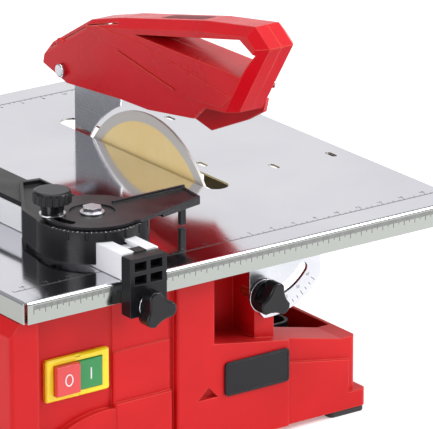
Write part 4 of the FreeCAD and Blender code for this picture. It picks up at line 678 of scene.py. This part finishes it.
YELLOW = Finish("yellow_switch_plastic", (0.90, 0.66, 0.0), (0.84, 0.60, 0.0), (0.98, 0.82, 0.20),
                roughness=(0.32, 0.42), coat=0.2, wear=0.4, edge_radius=0.6 * MM, grain_depth=0.010 * MM)
STOP_RED = Finish("red_button_plastic", (0.68, 0.035, 0.035), (0.60, 0.028, 0.030), (0.90, 0.25, 0.20),
                  roughness=(0.26, 0.36), coat=0.3, edge_radius=1.0 * MM, grain_depth=0.006 * MM)
START_GREEN = Finish("green_button_plastic", (0.0, 0.24, 0.045), (0.0, 0.20, 0.038), (0.10, 0.48, 0.18),
                     roughness=(0.26, 0.36), coat=0.3, edge_radius=1.0 * MM, grain_depth=0.006 * MM)
RUBBER = Finish("black_rubber", (0.016, 0.016, 0.016), (0.030, 0.029, 0.028), (0.06, 0.06, 0.06),
                roughness=(0.62, 0.78), grain_depth=0.03 * MM, dust=0.05)
CAN_PAINT = Finish("dark_motor_paint", (0.035, 0.038, 0.042), (0.05, 0.052, 0.056), (0.25, 0.25, 0.26),
                   roughness=(0.34, 0.46), metallic=0.2, grain_depth=0.03 * MM)
INK = Finish("scale_ink", (0.045, 0.045, 0.050), (0.075, 0.075, 0.080), (0.09, 0.09, 0.09),
             roughness=(0.45, 0.6), wear=0.1, edge_radius=0.05 * MM, patch_scale=60.0)
WHITE_INK = Finish("white_marking", (0.80, 0.80, 0.80), (0.70, 0.70, 0.70), (0.85, 0.85, 0.85),
                   roughness=(0.45, 0.6), wear=0.1, edge_radius=0.05 * MM, patch_scale=60.0)
GRIP_INSERT = Finish("soft_grip_insert", (0.16, 0.002, 0.006), (0.12, 0.002, 0.005), (0.28, 0.02, 0.02),
                     roughness=(0.48, 0.62), wear=0.3, grain_depth=0.04 * MM, grain_scale=1100.0)


def dress(finish: Finish, *nodes: str) -> None:
    """Give parts of the frame a finish.

    Args:
        finish: The finish.
        nodes: Names of the parts.
    """
    for node in nodes:
        materials = frame["nodes"][node].data.materials
        materials.clear()
        materials.append(finish.material())


def settle(piece: Object, body: str, finish: Finish) -> None:
    """Finish a new piece and let it ride on a body.

    Args:
        piece: The new piece.
        body: Name of the body it moves with.
        finish: Its finish.
    """
    piece.data.materials.append(finish.material())
    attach(piece, body)
    LOG.info("%s rides on %s in %s", piece.name, body, finish.name)


# ---- sub-assemblies -----------------------------------------------------------------------------
@dataclass
class Table:
    """Tilting table: its sheet, scales and tilt plates."""

    half_scale: int = 190  # millimetres of scale on each side of the middle
    tick_width: float = 0.50 * MM
    proud: float = 0.03 * MM
    rim_gap: float = 3.0 * MM  # from the table's face down to the rim's marks
    rim_tick: tuple[float, float, float] = (3.2 * MM, 4.6 * MM, 6.4 * MM)     # at 1, 5 and 10 mm
    band_inset: float = 24.0 * MM  # the top scale, in from the front and rear edges
    band_tick: tuple[float, float, float] = (1.6 * MM, 2.6 * MM, 3.8 * MM)
    number_step: int = 20  # millimetres from one number to the next
    number_size: float = 4.4 * MM
    number_inset: float = 6.6 * MM  # of the numbers' middles, past the top scale's start
    arc_radius: float = 52.5 * MM
    arc_start: float = 4.0  # degrees from straight down to the first mark
    arc_half: tuple[float, float] = (1.3 * MM, 2.2 * MM)     # half mark lengths at 5 and 15 degrees
    arc_number_gap: float = 6.4 * MM
    arc_number_size: float = 3.2 * MM
    plate: float = 2.5 * MM  # thickness of the tilt plates
    sheet: float = 1.5 * MM  # thickness of the table's sheet
    splash_right: float = 53.0 * MM  # of the dark strips of painted shade under the table, from the tilt axis
    splash_spans: tuple = ((-118.0, -34.0), (42.0, 86.0))    # millimetres along Y
    splash_half: float = 7.0 * MM  # half the strips' height
    splash_half_thickness: float = 0.6 * MM

    def dress(self) -> None:
        """Finishes of the table's parts."""
        dress(TABLE_STEEL, "table_top")
        dress(PLATED_STEEL, "front_quadrant", "rear_quadrant")
        dress(FASTENER, "pivot_pins")
        dress(BRASS, "pivot_bushes", "clamp_inserts")

    def build(self) -> None:
        """Scales of the rim, the table face and the tilt plates, and the dark strips of painted shade under
        the sheet.
        """
        self.rim_scale()
        self.face_scales()
        self.tilt_scales()
        self.splash_strips()

    def splash_strips(self) -> None:
        """Dark rubber strips under the sheet, right of the blade slot and clear of the arbor: painted shade, a
        dark sheet that shows black through the slot where the table's underside lies in shadow.
        """
        _, high = corners_of("table_top")
        pivot = joint_place("table_tilt")
        spans = np.array(self.splash_spans) * MM
        count = len(spans)
        centre = np.stack([np.full(count, pivot[0] + self.splash_right), spans.mean(axis=1),
                           np.full(count, high[2] - self.sheet - self.splash_half)], axis=1)
        along = np.zeros((count, 3))
        along[:, 1] = (spans[:, 1] - spans[:, 0]) / 2
        # These strips stand in for the shade under the table, seen through the blade slot.
        strips = blocks("splash_strips", centre, np.array([self.splash_half_thickness, 0, 0]), along,
                        np.array([0, 0, self.splash_half]))
        settle(strips, "table", RUBBER)

    @staticmethod
    def mark_lengths(steps: np.ndarray, sizes: tuple[float, float, float]) -> np.ndarray:
        """Length of each scale mark: short, longer every 5 mm and longest every 10 mm."""
        return np.select([steps % 10 == 0, steps % 5 == 0], [sizes[2], sizes[1]], sizes[0])

    def extent(self) -> tuple[np.ndarray, np.ndarray, float, np.ndarray]:
        """The table's lowest and highest corners, the X of its middle, and the scales' millimetres from it."""
        low, high = corners_of("table_top")
        return low, high, (low[0] + high[0]) / 2, np.arange(-self.half_scale, self.half_scale + 1)

    def rim_scale(self) -> None:
        """Etched millimetre marks on the upper half of the front and rear rims."""
        low, high, middle, steps = self.extent()
        lengths = self.mark_lengths(steps, self.rim_tick)
        for name, y, out in (("front", low[1], -1.0), ("rear", high[1], 1.0)):
            top = high[2] - self.rim_gap
            centre = np.stack([middle + steps * MM, np.full(len(steps), y + out * self.proud / 2),
                               top - lengths / 2], axis=1)
            down = np.zeros((len(steps), 3))
            down[:, 2] = lengths / 2
            ticks = blocks(name + "_rim_scale", centre, np.array([self.tick_width / 2, 0, 0]), down,
                           np.array([0, self.proud, 0]))
            settle(ticks, "table", INK)

    def face_scales(self) -> None:
        """Printed ruler bands across the table's face, near its front and rear edges."""
        low, high, middle, steps = self.extent()
        lengths = self.mark_lengths(steps, self.band_tick)
        for name, y, way in (("front", low[1] + self.band_inset, 1.0),
                             ("rear", high[1] - self.band_inset, -1.0)):
            centre = np.stack([middle + steps * MM, y + way * lengths / 2,
                               np.full(len(steps), high[2] + self.proud / 2)], axis=1)
            long = np.zeros((len(steps), 3))
            long[:, 1] = lengths / 2
            ticks = blocks(name + "_face_scale", centre, np.array([self.tick_width / 2, 0, 0]), long,
                           np.array([0, 0, self.proud]))
            settle(ticks, "table", INK)
            marks = np.arange(-180, 181, self.number_step)
            places = np.stack([middle + marks * MM, np.full(len(marks), y + way * self.number_inset),
                               np.full(len(marks), high[2] + self.proud)], axis=1)
            text = numerals(name + "_face_numbers", [str(abs(int(mark)) // 10) for mark in marks], places,
                            X_AXIS, Y_AXIS, self.number_size)
            settle(text, "table", INK)

    def tilt_scales(self) -> None:
        """Degree marks round the outer band of both tilt plates.

        A mark stands on a circle round the tilt axis, at its angle from straight down, and points at it.
        """
        pivot = joint_place("table_tilt")
        degrees = np.arange(0, 46, 5)
        turn = np.radians(degrees + self.arc_start)
        spoke = np.stack([np.sin(turn), np.zeros(len(turn)), -np.cos(turn)], axis=1)
        around = np.stack([np.cos(turn), np.zeros(len(turn)), np.sin(turn)], axis=1)
        half = np.where(degrees % 15 == 0, self.arc_half[1], self.arc_half[0])[:, None]
        for node, out in (("front_quadrant", -1.0), ("rear_quadrant", 1.0)):
            low, high = corners_of(node)
            face = high[1] - self.plate if out < 0 else low[1] + self.plate
            centre = spoke * self.arc_radius
            centre[:, 0] += pivot[0]
            centre[:, 1] = face + out * self.proud / 2
            centre[:, 2] += pivot[2]
            ticks = blocks(node + "_marks", centre, spoke * half, around * self.tick_width / 2,
                           np.array([0, self.proud, 0]))
            settle(ticks, "table", INK)
            shown = degrees % 15 == 0
            places = centre[shown] - spoke[shown] * self.arc_number_gap
            words = [str(int(value)) for value in degrees[shown]]
            text = numerals(node + "_numbers", words, places, np.array([-out, 0, 0]), Z_AXIS,
                            self.arc_number_size)
            settle(text, "table", INK)


@dataclass
class Housing:
    """Red housing with its label plate, feet, tub and switch."""

    bezel: float = 0.7 * MM
    bezel_height: float = 0.25 * MM
    bezel_inset: float = 1.4 * MM
    ring_radii: tuple[float, float] = (3.0, 4.2)  # of the off symbol, in millimetres
    ring_tube: float = 0.5 * MM
    bar_half: tuple[float, float] = (0.55 * MM, 4.4 * MM)    # of the on symbol, across and up
    symbol_proud: float = 0.15 * MM
    ribs: int = 3
    rib_start: tuple[float, float] = (4.0, 6.2)  # set-back and radius, in millimetres
    rib_step: tuple[float, float] = (3.4, 0.62)

    def dress(self) -> None:
        """Finishes of the housing's parts."""
        dress(RED_BODY, "housing")
        dress(BLACK_PLASTIC, "motor_cover", "water_tub", "cable_gland", "label_plate", "switch_body")
        dress(RUBBER, "feet", "drain_plug", "shaft_seal")
        dress(FASTENER, "foot_screws", "cover_screws")
        dress(YELLOW, "switch_plate")
        dress(STOP_RED, "stop_button")
        dress(START_GREEN, "start_button")

    def build(self) -> None:
        """Label frame, switch symbols and the gland's grip ribs."""
        self.label_frame()
        self.switch_symbols()
        self.gland_ribs()

    def label_frame(self) -> None:
        """Fine raised frame round the blank label plate."""
        low, high = corners_of("label_plate")
        inset = self.bezel_inset
        x, z = (low[0] + inset, high[0] - inset), (low[2] + inset, high[2] - inset)
        corners = np.array([(x[0], low[1], z[0]), (x[1], low[1], z[0]),
                            (x[1], low[1], z[1]), (x[0], low[1], z[1])])
        path = smooth_loop(corners, per_side=7, roundness=0.06)
        bead = loop_bead("label_frame", path, -Y_AXIS, self.bezel, self.bezel_height)
        settle(bead, "base", KNOB_BLACK)

    def switch_symbols(self) -> None:
        """The ring on the off button and the bar on the on button."""
        low, high = corners_of("stop_button")
        centre = (low + high) / 2
        centre[1] = low[1]
        ring = torus("off_symbol", centre, X_AXIS, Z_AXIS,
                     np.array(self.ring_radii) * MM, self.ring_tube)
        settle(ring, "off_button", WHITE_INK)
        low, high = corners_of("start_button")
        centre = (low + high) / 2
        centre[1] = low[1]
        bar = blocks("on_symbol", centre[None], np.array([self.bar_half[0], 0, 0]),
                     np.array([0, 0, self.bar_half[1]]), np.array([0, self.symbol_proud, 0]))
        settle(bar, "on_button", WHITE_INK)

    def gland_ribs(self) -> None:
        """Rings round the nose of the cable gland."""
        low, high = corners_of("cable_gland")
        middle = (low + high) / 2
        for number in range(self.ribs):
            back, reach = (start + step * number for start, step in zip(self.rib_start, self.rib_step))
            centre = np.array([middle[0], high[1] - back * MM, middle[2]])
            radius = reach * MM
            ring = torus(f"gland_rib_{number + 1}", centre, X_AXIS, Z_AXIS,
                         np.array([radius, radius]), self.ring_tube)
            settle(ring, "base", BLACK_PLASTIC)


@dataclass
class Drive:
    """Motor, arbor and blade."""

    rim_width: float = 8.0 * MM  # bare diamond rim of the blade
    thread_gap: float = 0.1 * MM  # between the nut and the thread's start
    thread_stop: float = 0.5 * MM  # how much shorter the thread is than the shaft beyond the nut
    thread_pitch: float = 0.5 * MM

    def dress(self) -> None:
        """Finishes of the drive's parts."""
        arbor = joint_place("blade_spin")
        low, high = corners_of("blade")
        blade = BladeFinish("coated_blade", (0.95, 0.76, 0.38), (0.90, 0.68, 0.28), (0.85, 0.82, 0.74),
                            roughness=(0.34, 0.46), metallic=0.05, wear=0.2, edge_radius=0.2 * MM,
                            grain_scale=2200.0, grain_depth=0.02 * MM, patch_scale=30.0,
                            arbor=(float(low[0] + high[0]) / 2, float(arbor[1]), float(arbor[2])),
                            rim_start=float(high[2] - arbor[2]) - self.rim_width)
        dress(blade, "blade")
        dress(CAN_PAINT, "motor_can")
        dress(CAST_METAL, "motor_shield", "capacitor")
        dress(LAMINATION, "stator", "rotor")
        dress(COPPER, "stator_windings")
        dress(FASTENER, "motor_shaft", "inner_flange", "outer_flange", "arbor_nut", "motor_bearings",
              "motor_screws", "knife_screws")
        dress(BLACK_PLASTIC, "cooling_fan")
        dress(PLATED_STEEL, "riving_knife", "knife_bracket")

    def build(self) -> None:
        """Thread on the blade end of the arbor."""
        low, high = corners_of("motor_shaft")
        centre = (low + high) / 2
        nut = corners_of("arbor_nut")[1][0]
        start = np.array([nut + self.thread_gap, centre[1], centre[2]])
        thread = screw_thread("arbor_thread", start, X_AXIS, high[0] - nut - self.thread_stop,
                              (high[2] - low[2]) / 2, self.thread_pitch)
        settle(thread, "arbor", FASTENER)


@dataclass
class Guard:
    """Blade guard: glossy shells, raised panels and lines, and the grip insert."""

    panel: tuple = ((-29.0, 43.0), (-45.0, 47.0), (-97.0, 49.0),  # Y and Z from the pivot, in millimetres
                    (-222.0, 35.0), (-210.0, 23.5), (-173.0, 20.0))
    panel_height: float = 0.5 * MM
    panel_bevel: float = 1.6 * MM
    line_width: float = 1.2 * MM
    line_half_height: float = 0.35 * MM
    line: tuple = ((-76.0, 34.0), (-150.0, 22.0))  # its ends, as for the panel
    insert_span: tuple[float, float] = (-18.0 * MM, -80.0 * MM)    # Y from rear to front
    insert_slope: float = -25.0 / 112.0  # of the guard's back there
    insert_start: float = 271.6 * MM  # height of the back at Y = 0
    insert_half_width: float = 7.0 * MM
    insert_rise: float = 0.8 * MM
    insert_steps: tuple[int, int] = (41, 17)

    def dress(self) -> None:
        """Finishes of the guard's parts."""
        dress(RED_GUARD, "guard_left_shell", "guard_right_shell")
        dress(FASTENER, "guard_screws", "guard_bolt", "guard_nut", "guard_spacers")

    def build(self) -> None:
        """Raised panel and line on both sides, and the insert strip on the back."""
        bolt = joint_place("guard_lift")
        for node, sign in (("guard_left_shell", -1.0), ("guard_right_shell", 1.0)):
            low, high = corners_of(node)
            face = low[0] if sign < 0 else high[0]
            out = np.array([sign, 0, 0])
            shape = np.array(self.panel) * MM + bolt[1:]
            outline = np.concatenate([np.full((len(shape), 1), face), shape], axis=1)
            panel = raised_panel(node + "_panel", outline, out, self.panel_height, self.panel_bevel)
            settle(panel, "guard", RED_GUARD)
            ends = np.array(self.line) * MM + bolt[1:]
            ahead = np.array([0, *(ends[1] - ends[0])]) / 2
            across = np.cross(out, ahead / np.linalg.norm(ahead)) * self.line_width / 2
            place = np.array([[face + sign * self.panel_height, *ends.mean(axis=0)]])
            line = blocks(node + "_line", place, ahead, across, out * self.line_half_height)
            settle(line, "guard", RED_GUARD)
        self.grip_insert()

    def grip_insert(self) -> None:
        """Soft strip on the guard's back.

        The strip follows the straight slope of the back. Across it and along it the height falls off with
        the eighth power of the distance from the middle, so it is flat with rounded edges.
        """
        low, _ = corners_of("guard_left_shell")
        _, right = corners_of("guard_right_shell")
        middle = (low[0] + right[0]) / 2
        u = np.linspace(0, 1, self.insert_steps[0])[:, None]
        v = np.linspace(-1, 1, self.insert_steps[1])[None, :]
        rise = (1 - (2 * u - 1) ** 8) * (1 - v ** 8) * self.insert_rise - self.insert_rise / 2
        y = self.insert_span[0] + (self.insert_span[1] - self.insert_span[0]) * u + 0 * v
        z = self.insert_start + self.insert_slope * y + rise
        top = np.stack([middle + self.insert_half_width * v + 0 * u, y, z], -1)
        bottom = top.copy()
        bottom[..., 2] = (self.insert_start + self.insert_slope * y) - self.insert_rise
        settle(self.slab("grip_insert", top, bottom), "guard", GRIP_INSERT)

    @staticmethod
    def slab(name: str, top: np.ndarray, bottom: np.ndarray) -> Object:
        """A closed slab between two grids of points.

        Args:
            name: Name of the piece.
            top: Array (rows, columns, 3) of the upper surface.
            bottom: The lower surface, of the same shape.

        Returns:
            The new object.
        """
        rows, columns = top.shape[:2]
        number = np.arange(rows * columns).reshape(rows, columns)
        cells = np.stack([number[:-1, :-1], number[1:, :-1], number[1:, 1:], number[:-1, 1:]], -1)
        cells = cells.reshape(-1, 4)
        rim = np.concatenate([number[0, :], number[1:, -1], number[-1, -2::-1], number[-2:0:-1, 0]])
        nxt = np.roll(rim, -1)
        count = rows * columns
        walls = np.stack([rim, nxt, nxt + count, rim + count], -1)
        ahead = np.cross(top[1, 0] - top[0, 0], top[0, 1] - top[0, 0])[2] > 0
        cells = cells if ahead else cells[:, ::-1]
        walls = walls[:, ::-1] if ahead else walls
        faces = np.concatenate([cells, cells[:, ::-1] + count, walls])
        points = np.concatenate([top.reshape(-1, 3), bottom.reshape(-1, 3)])
        return make_object(name, points, faces, smooth=True)


@dataclass
class Fence:
    """Fence rail with its clamp blocks and the mitre stop."""

    tick: float = 2.6 * MM  # length of the ring's marks at 15 degrees
    tick_half_width: float = 0.2 * MM
    tick_proud: float = 0.03 * MM
    ring_radius: float = 39.4 * MM
    ring_drop: float = 0.3 * MM  # of the ring's face, from the swivel joint
    ring_middle: float = 250.0  # direction of the scale's middle, in degrees

    def dress(self) -> None:
        """Finishes of the fence's parts."""
        dress(ANODISED, "fence_rail")
        dress(BLACK_PLASTIC, "front_clamp_block", "rear_clamp_block", "stop_shoe", "stop_head")
        dress(KNOB_BLACK, "front_fence_knob", "rear_fence_knob", "stop_knob")
        dress(FASTENER, "front_fence_stud", "rear_fence_stud", "stop_stud", "stop_washer", "stop_pivot_screw")

    def build(self) -> None:
        """Angle marks on the stop's notched ring."""
        centre = joint_place("stop_swing")
        degrees = np.arange(-60, 61, 5)
        turn = np.radians(degrees + self.ring_middle)
        spoke = np.stack([np.cos(turn), np.sin(turn), np.zeros(len(turn))], 1)
        around = np.stack([-np.sin(turn), np.cos(turn), np.zeros(len(turn))], 1)
        half = np.where(degrees % 15 == 0, self.tick / 2, self.tick / 4)[:, None]
        middle = centre + spoke * self.ring_radius
        middle[:, 2] = centre[2] - self.ring_drop
        ticks = blocks("stop_ring_marks", middle, spoke * half, around * self.tick_half_width,
                       np.array([0, 0, self.tick_proud]))
        settle(ticks, "stop_slider", WHITE_INK)


@dataclass
class TiltClamps:
    """Tilt clamps, and the bright rings of the tilt and fence knobs."""

    washer_tube: float = 0.5 * MM
    flange_inset: float = 1.5 * MM
    tilt_radius: float = 12.4 * MM
    fence_radius: float = 9.0 * MM

    def dress(self) -> None:
        """Finishes of the tilt clamps' parts."""
        dress(KNOB_BLACK, "front_tilt_knob", "rear_tilt_knob")
        dress(FASTENER, "front_tilt_stud", "rear_tilt_stud")

    def build(self) -> None:
        """Bright rings round the knobs' flanges."""
        for node, body, joint in (("front_tilt_knob", "front_tilt_clamp", "front_tilt_knob_turn"),
                                  ("rear_tilt_knob", "rear_tilt_clamp", "rear_tilt_knob_turn"),
                                  ("front_fence_knob", "front_fence_clamp", "front_fence_knob_turn"),
                                  ("rear_fence_knob", "rear_fence_clamp", "rear_fence_knob_turn")):
            low, high = corners_of(node)
            front = node.startswith("front")
            flange = high[1] - self.flange_inset if front else low[1] + self.flange_inset
            centre = joint_place(joint)
            centre[1] = flange
            radius = self.tilt_radius if "tilt" in node else self.fence_radius
            ring = torus(node + "_ring", centre, X_AXIS, Z_AXIS,
                         np.array([radius, radius]), self.washer_tube)
            settle(ring, body, FASTENER)


# ---- studio -------------------------------------------------------------------------------------
@dataclass
class Studio:
    """Pale floor, soft lights and the camera. Lengths here are in metres, but the lens is in millimetres."""

    azimuth: float = math.radians(-35.76)
    elevation: float = math.radians(18.93)
    distance: float = 3.787
    shift_right: float = 0.0972
    shift_up: float = -0.0297
    lens: float = 415.7
    sensor: float = 36.0
    surround_colour: tuple = (0.90, 0.91, 0.95, 1)
    surround_strength: float = 0.42
    floor_reach: float = 6.0
    floor_glow: float = 0.30

    def build_camera(self) -> None:
        """Long lens that looks down on the table from the front left corner."""
        low, high = corners_of("table_top")
        back = Vector((math.sin(self.azimuth) * math.cos(self.elevation),
                       -math.cos(self.azimuth) * math.cos(self.elevation), math.sin(self.elevation)))
        right = Vector((math.cos(self.azimuth), math.sin(self.azimuth), 0))
        up = back.cross(right)
        aim = Vector(((low[0] + high[0]) / 2, (low[1] + high[1]) / 2, high[2]))
        aim += right * self.shift_right + up * self.shift_up
        data = bpy.data.cameras.new("camera")
        data.lens = self.lens
        data.sensor_width = self.sensor
        data.clip_end = 50.0
        camera = bpy.data.objects.new("camera", data)
        camera.location = aim + back * self.distance
        camera.rotation_euler = (-back).to_track_quat("-Z", "Y").to_euler()
        bpy.context.scene.collection.objects.link(camera)
        bpy.context.scene.camera = camera

    def build_lights(self) -> None:
        """Soft panels to the right, above, to the left and behind, and an even pale surround."""
        self.panel("right_key", (1.7, -1.5, 1.7), (1.6, 1.4), 62.0)
        self.panel("top_panel", (0.1, 0.1, 2.3), (2.4, 1.8), 34.0)
        self.panel("left_fill", (-2.2, -0.9, 1.3), (1.2, 1.2), 26.0)
        self.panel("rear_panel", (2.3, 3.1, 1.35), (3.6, 2.2), 12.5)
        world = bpy.data.worlds.new("surround")
        world.use_nodes = True
        shade = world.node_tree.nodes["Background"]
        shade.inputs["Color"].default_value = self.surround_colour
        shade.inputs["Strength"].default_value = self.surround_strength
        bpy.context.scene.world = world

    @staticmethod
    def panel(name: str, place: tuple, size: tuple, power: float) -> None:
        """One soft rectangular light that looks at the table.

        Args:
            name: Name of the light.
            place: Where it stands.
            size: Its width and height.
            power: Its power in watts.
        """
        data = bpy.data.lights.new(name, "AREA")
        data.shape = "RECTANGLE"
        data.size, data.size_y = size
        data.energy = power
        light = bpy.data.objects.new(name, data)
        light.location = place
        light.rotation_euler = (Vector((0, 0, 0.1)) - Vector(place)).to_track_quat("-Z", "Y").to_euler()
        bpy.context.scene.collection.objects.link(light)

    def build_floor(self) -> None:
        """Plain pale floor that the machine stands on."""
        low = Vector(CAD_BOX[0])
        reach = self.floor_reach
        points = np.array([(-reach, -reach, low.z), (reach, -reach, low.z), (reach, reach, low.z),
                           (-reach, reach, low.z)])
        floor = make_object("floor", points, np.array([[0, 1, 2, 3]]))
        paint = Finish("pale_floor", (0.86, 0.86, 0.87), (0.83, 0.83, 0.84), (0.86, 0.86, 0.87),
                       roughness=(0.55, 0.65), glow=self.floor_glow, wear=0.0, grain_depth=0.001 * MM,
                       patch_scale=2.0)
        floor.data.materials.append(paint.material())


def main() -> None:
    """Build the studio and every sub-assembly in order."""
    logging.basicConfig(level=logging.INFO, format="%(name)s: %(message)s")
    studio = Studio()
    studio.build_camera()
    studio.build_lights()
    studio.build_floor()
    bpy.context.scene.view_settings.view_transform = "Standard"
    for assembly in (Table(), Housing(), Drive(), Guard(), Fence(), TiltClamps()):
        assembly.dress()
        assembly.build()
        LOG.info("%s done", type(assembly).__name__)


if __name__ == "__main__":
    main()
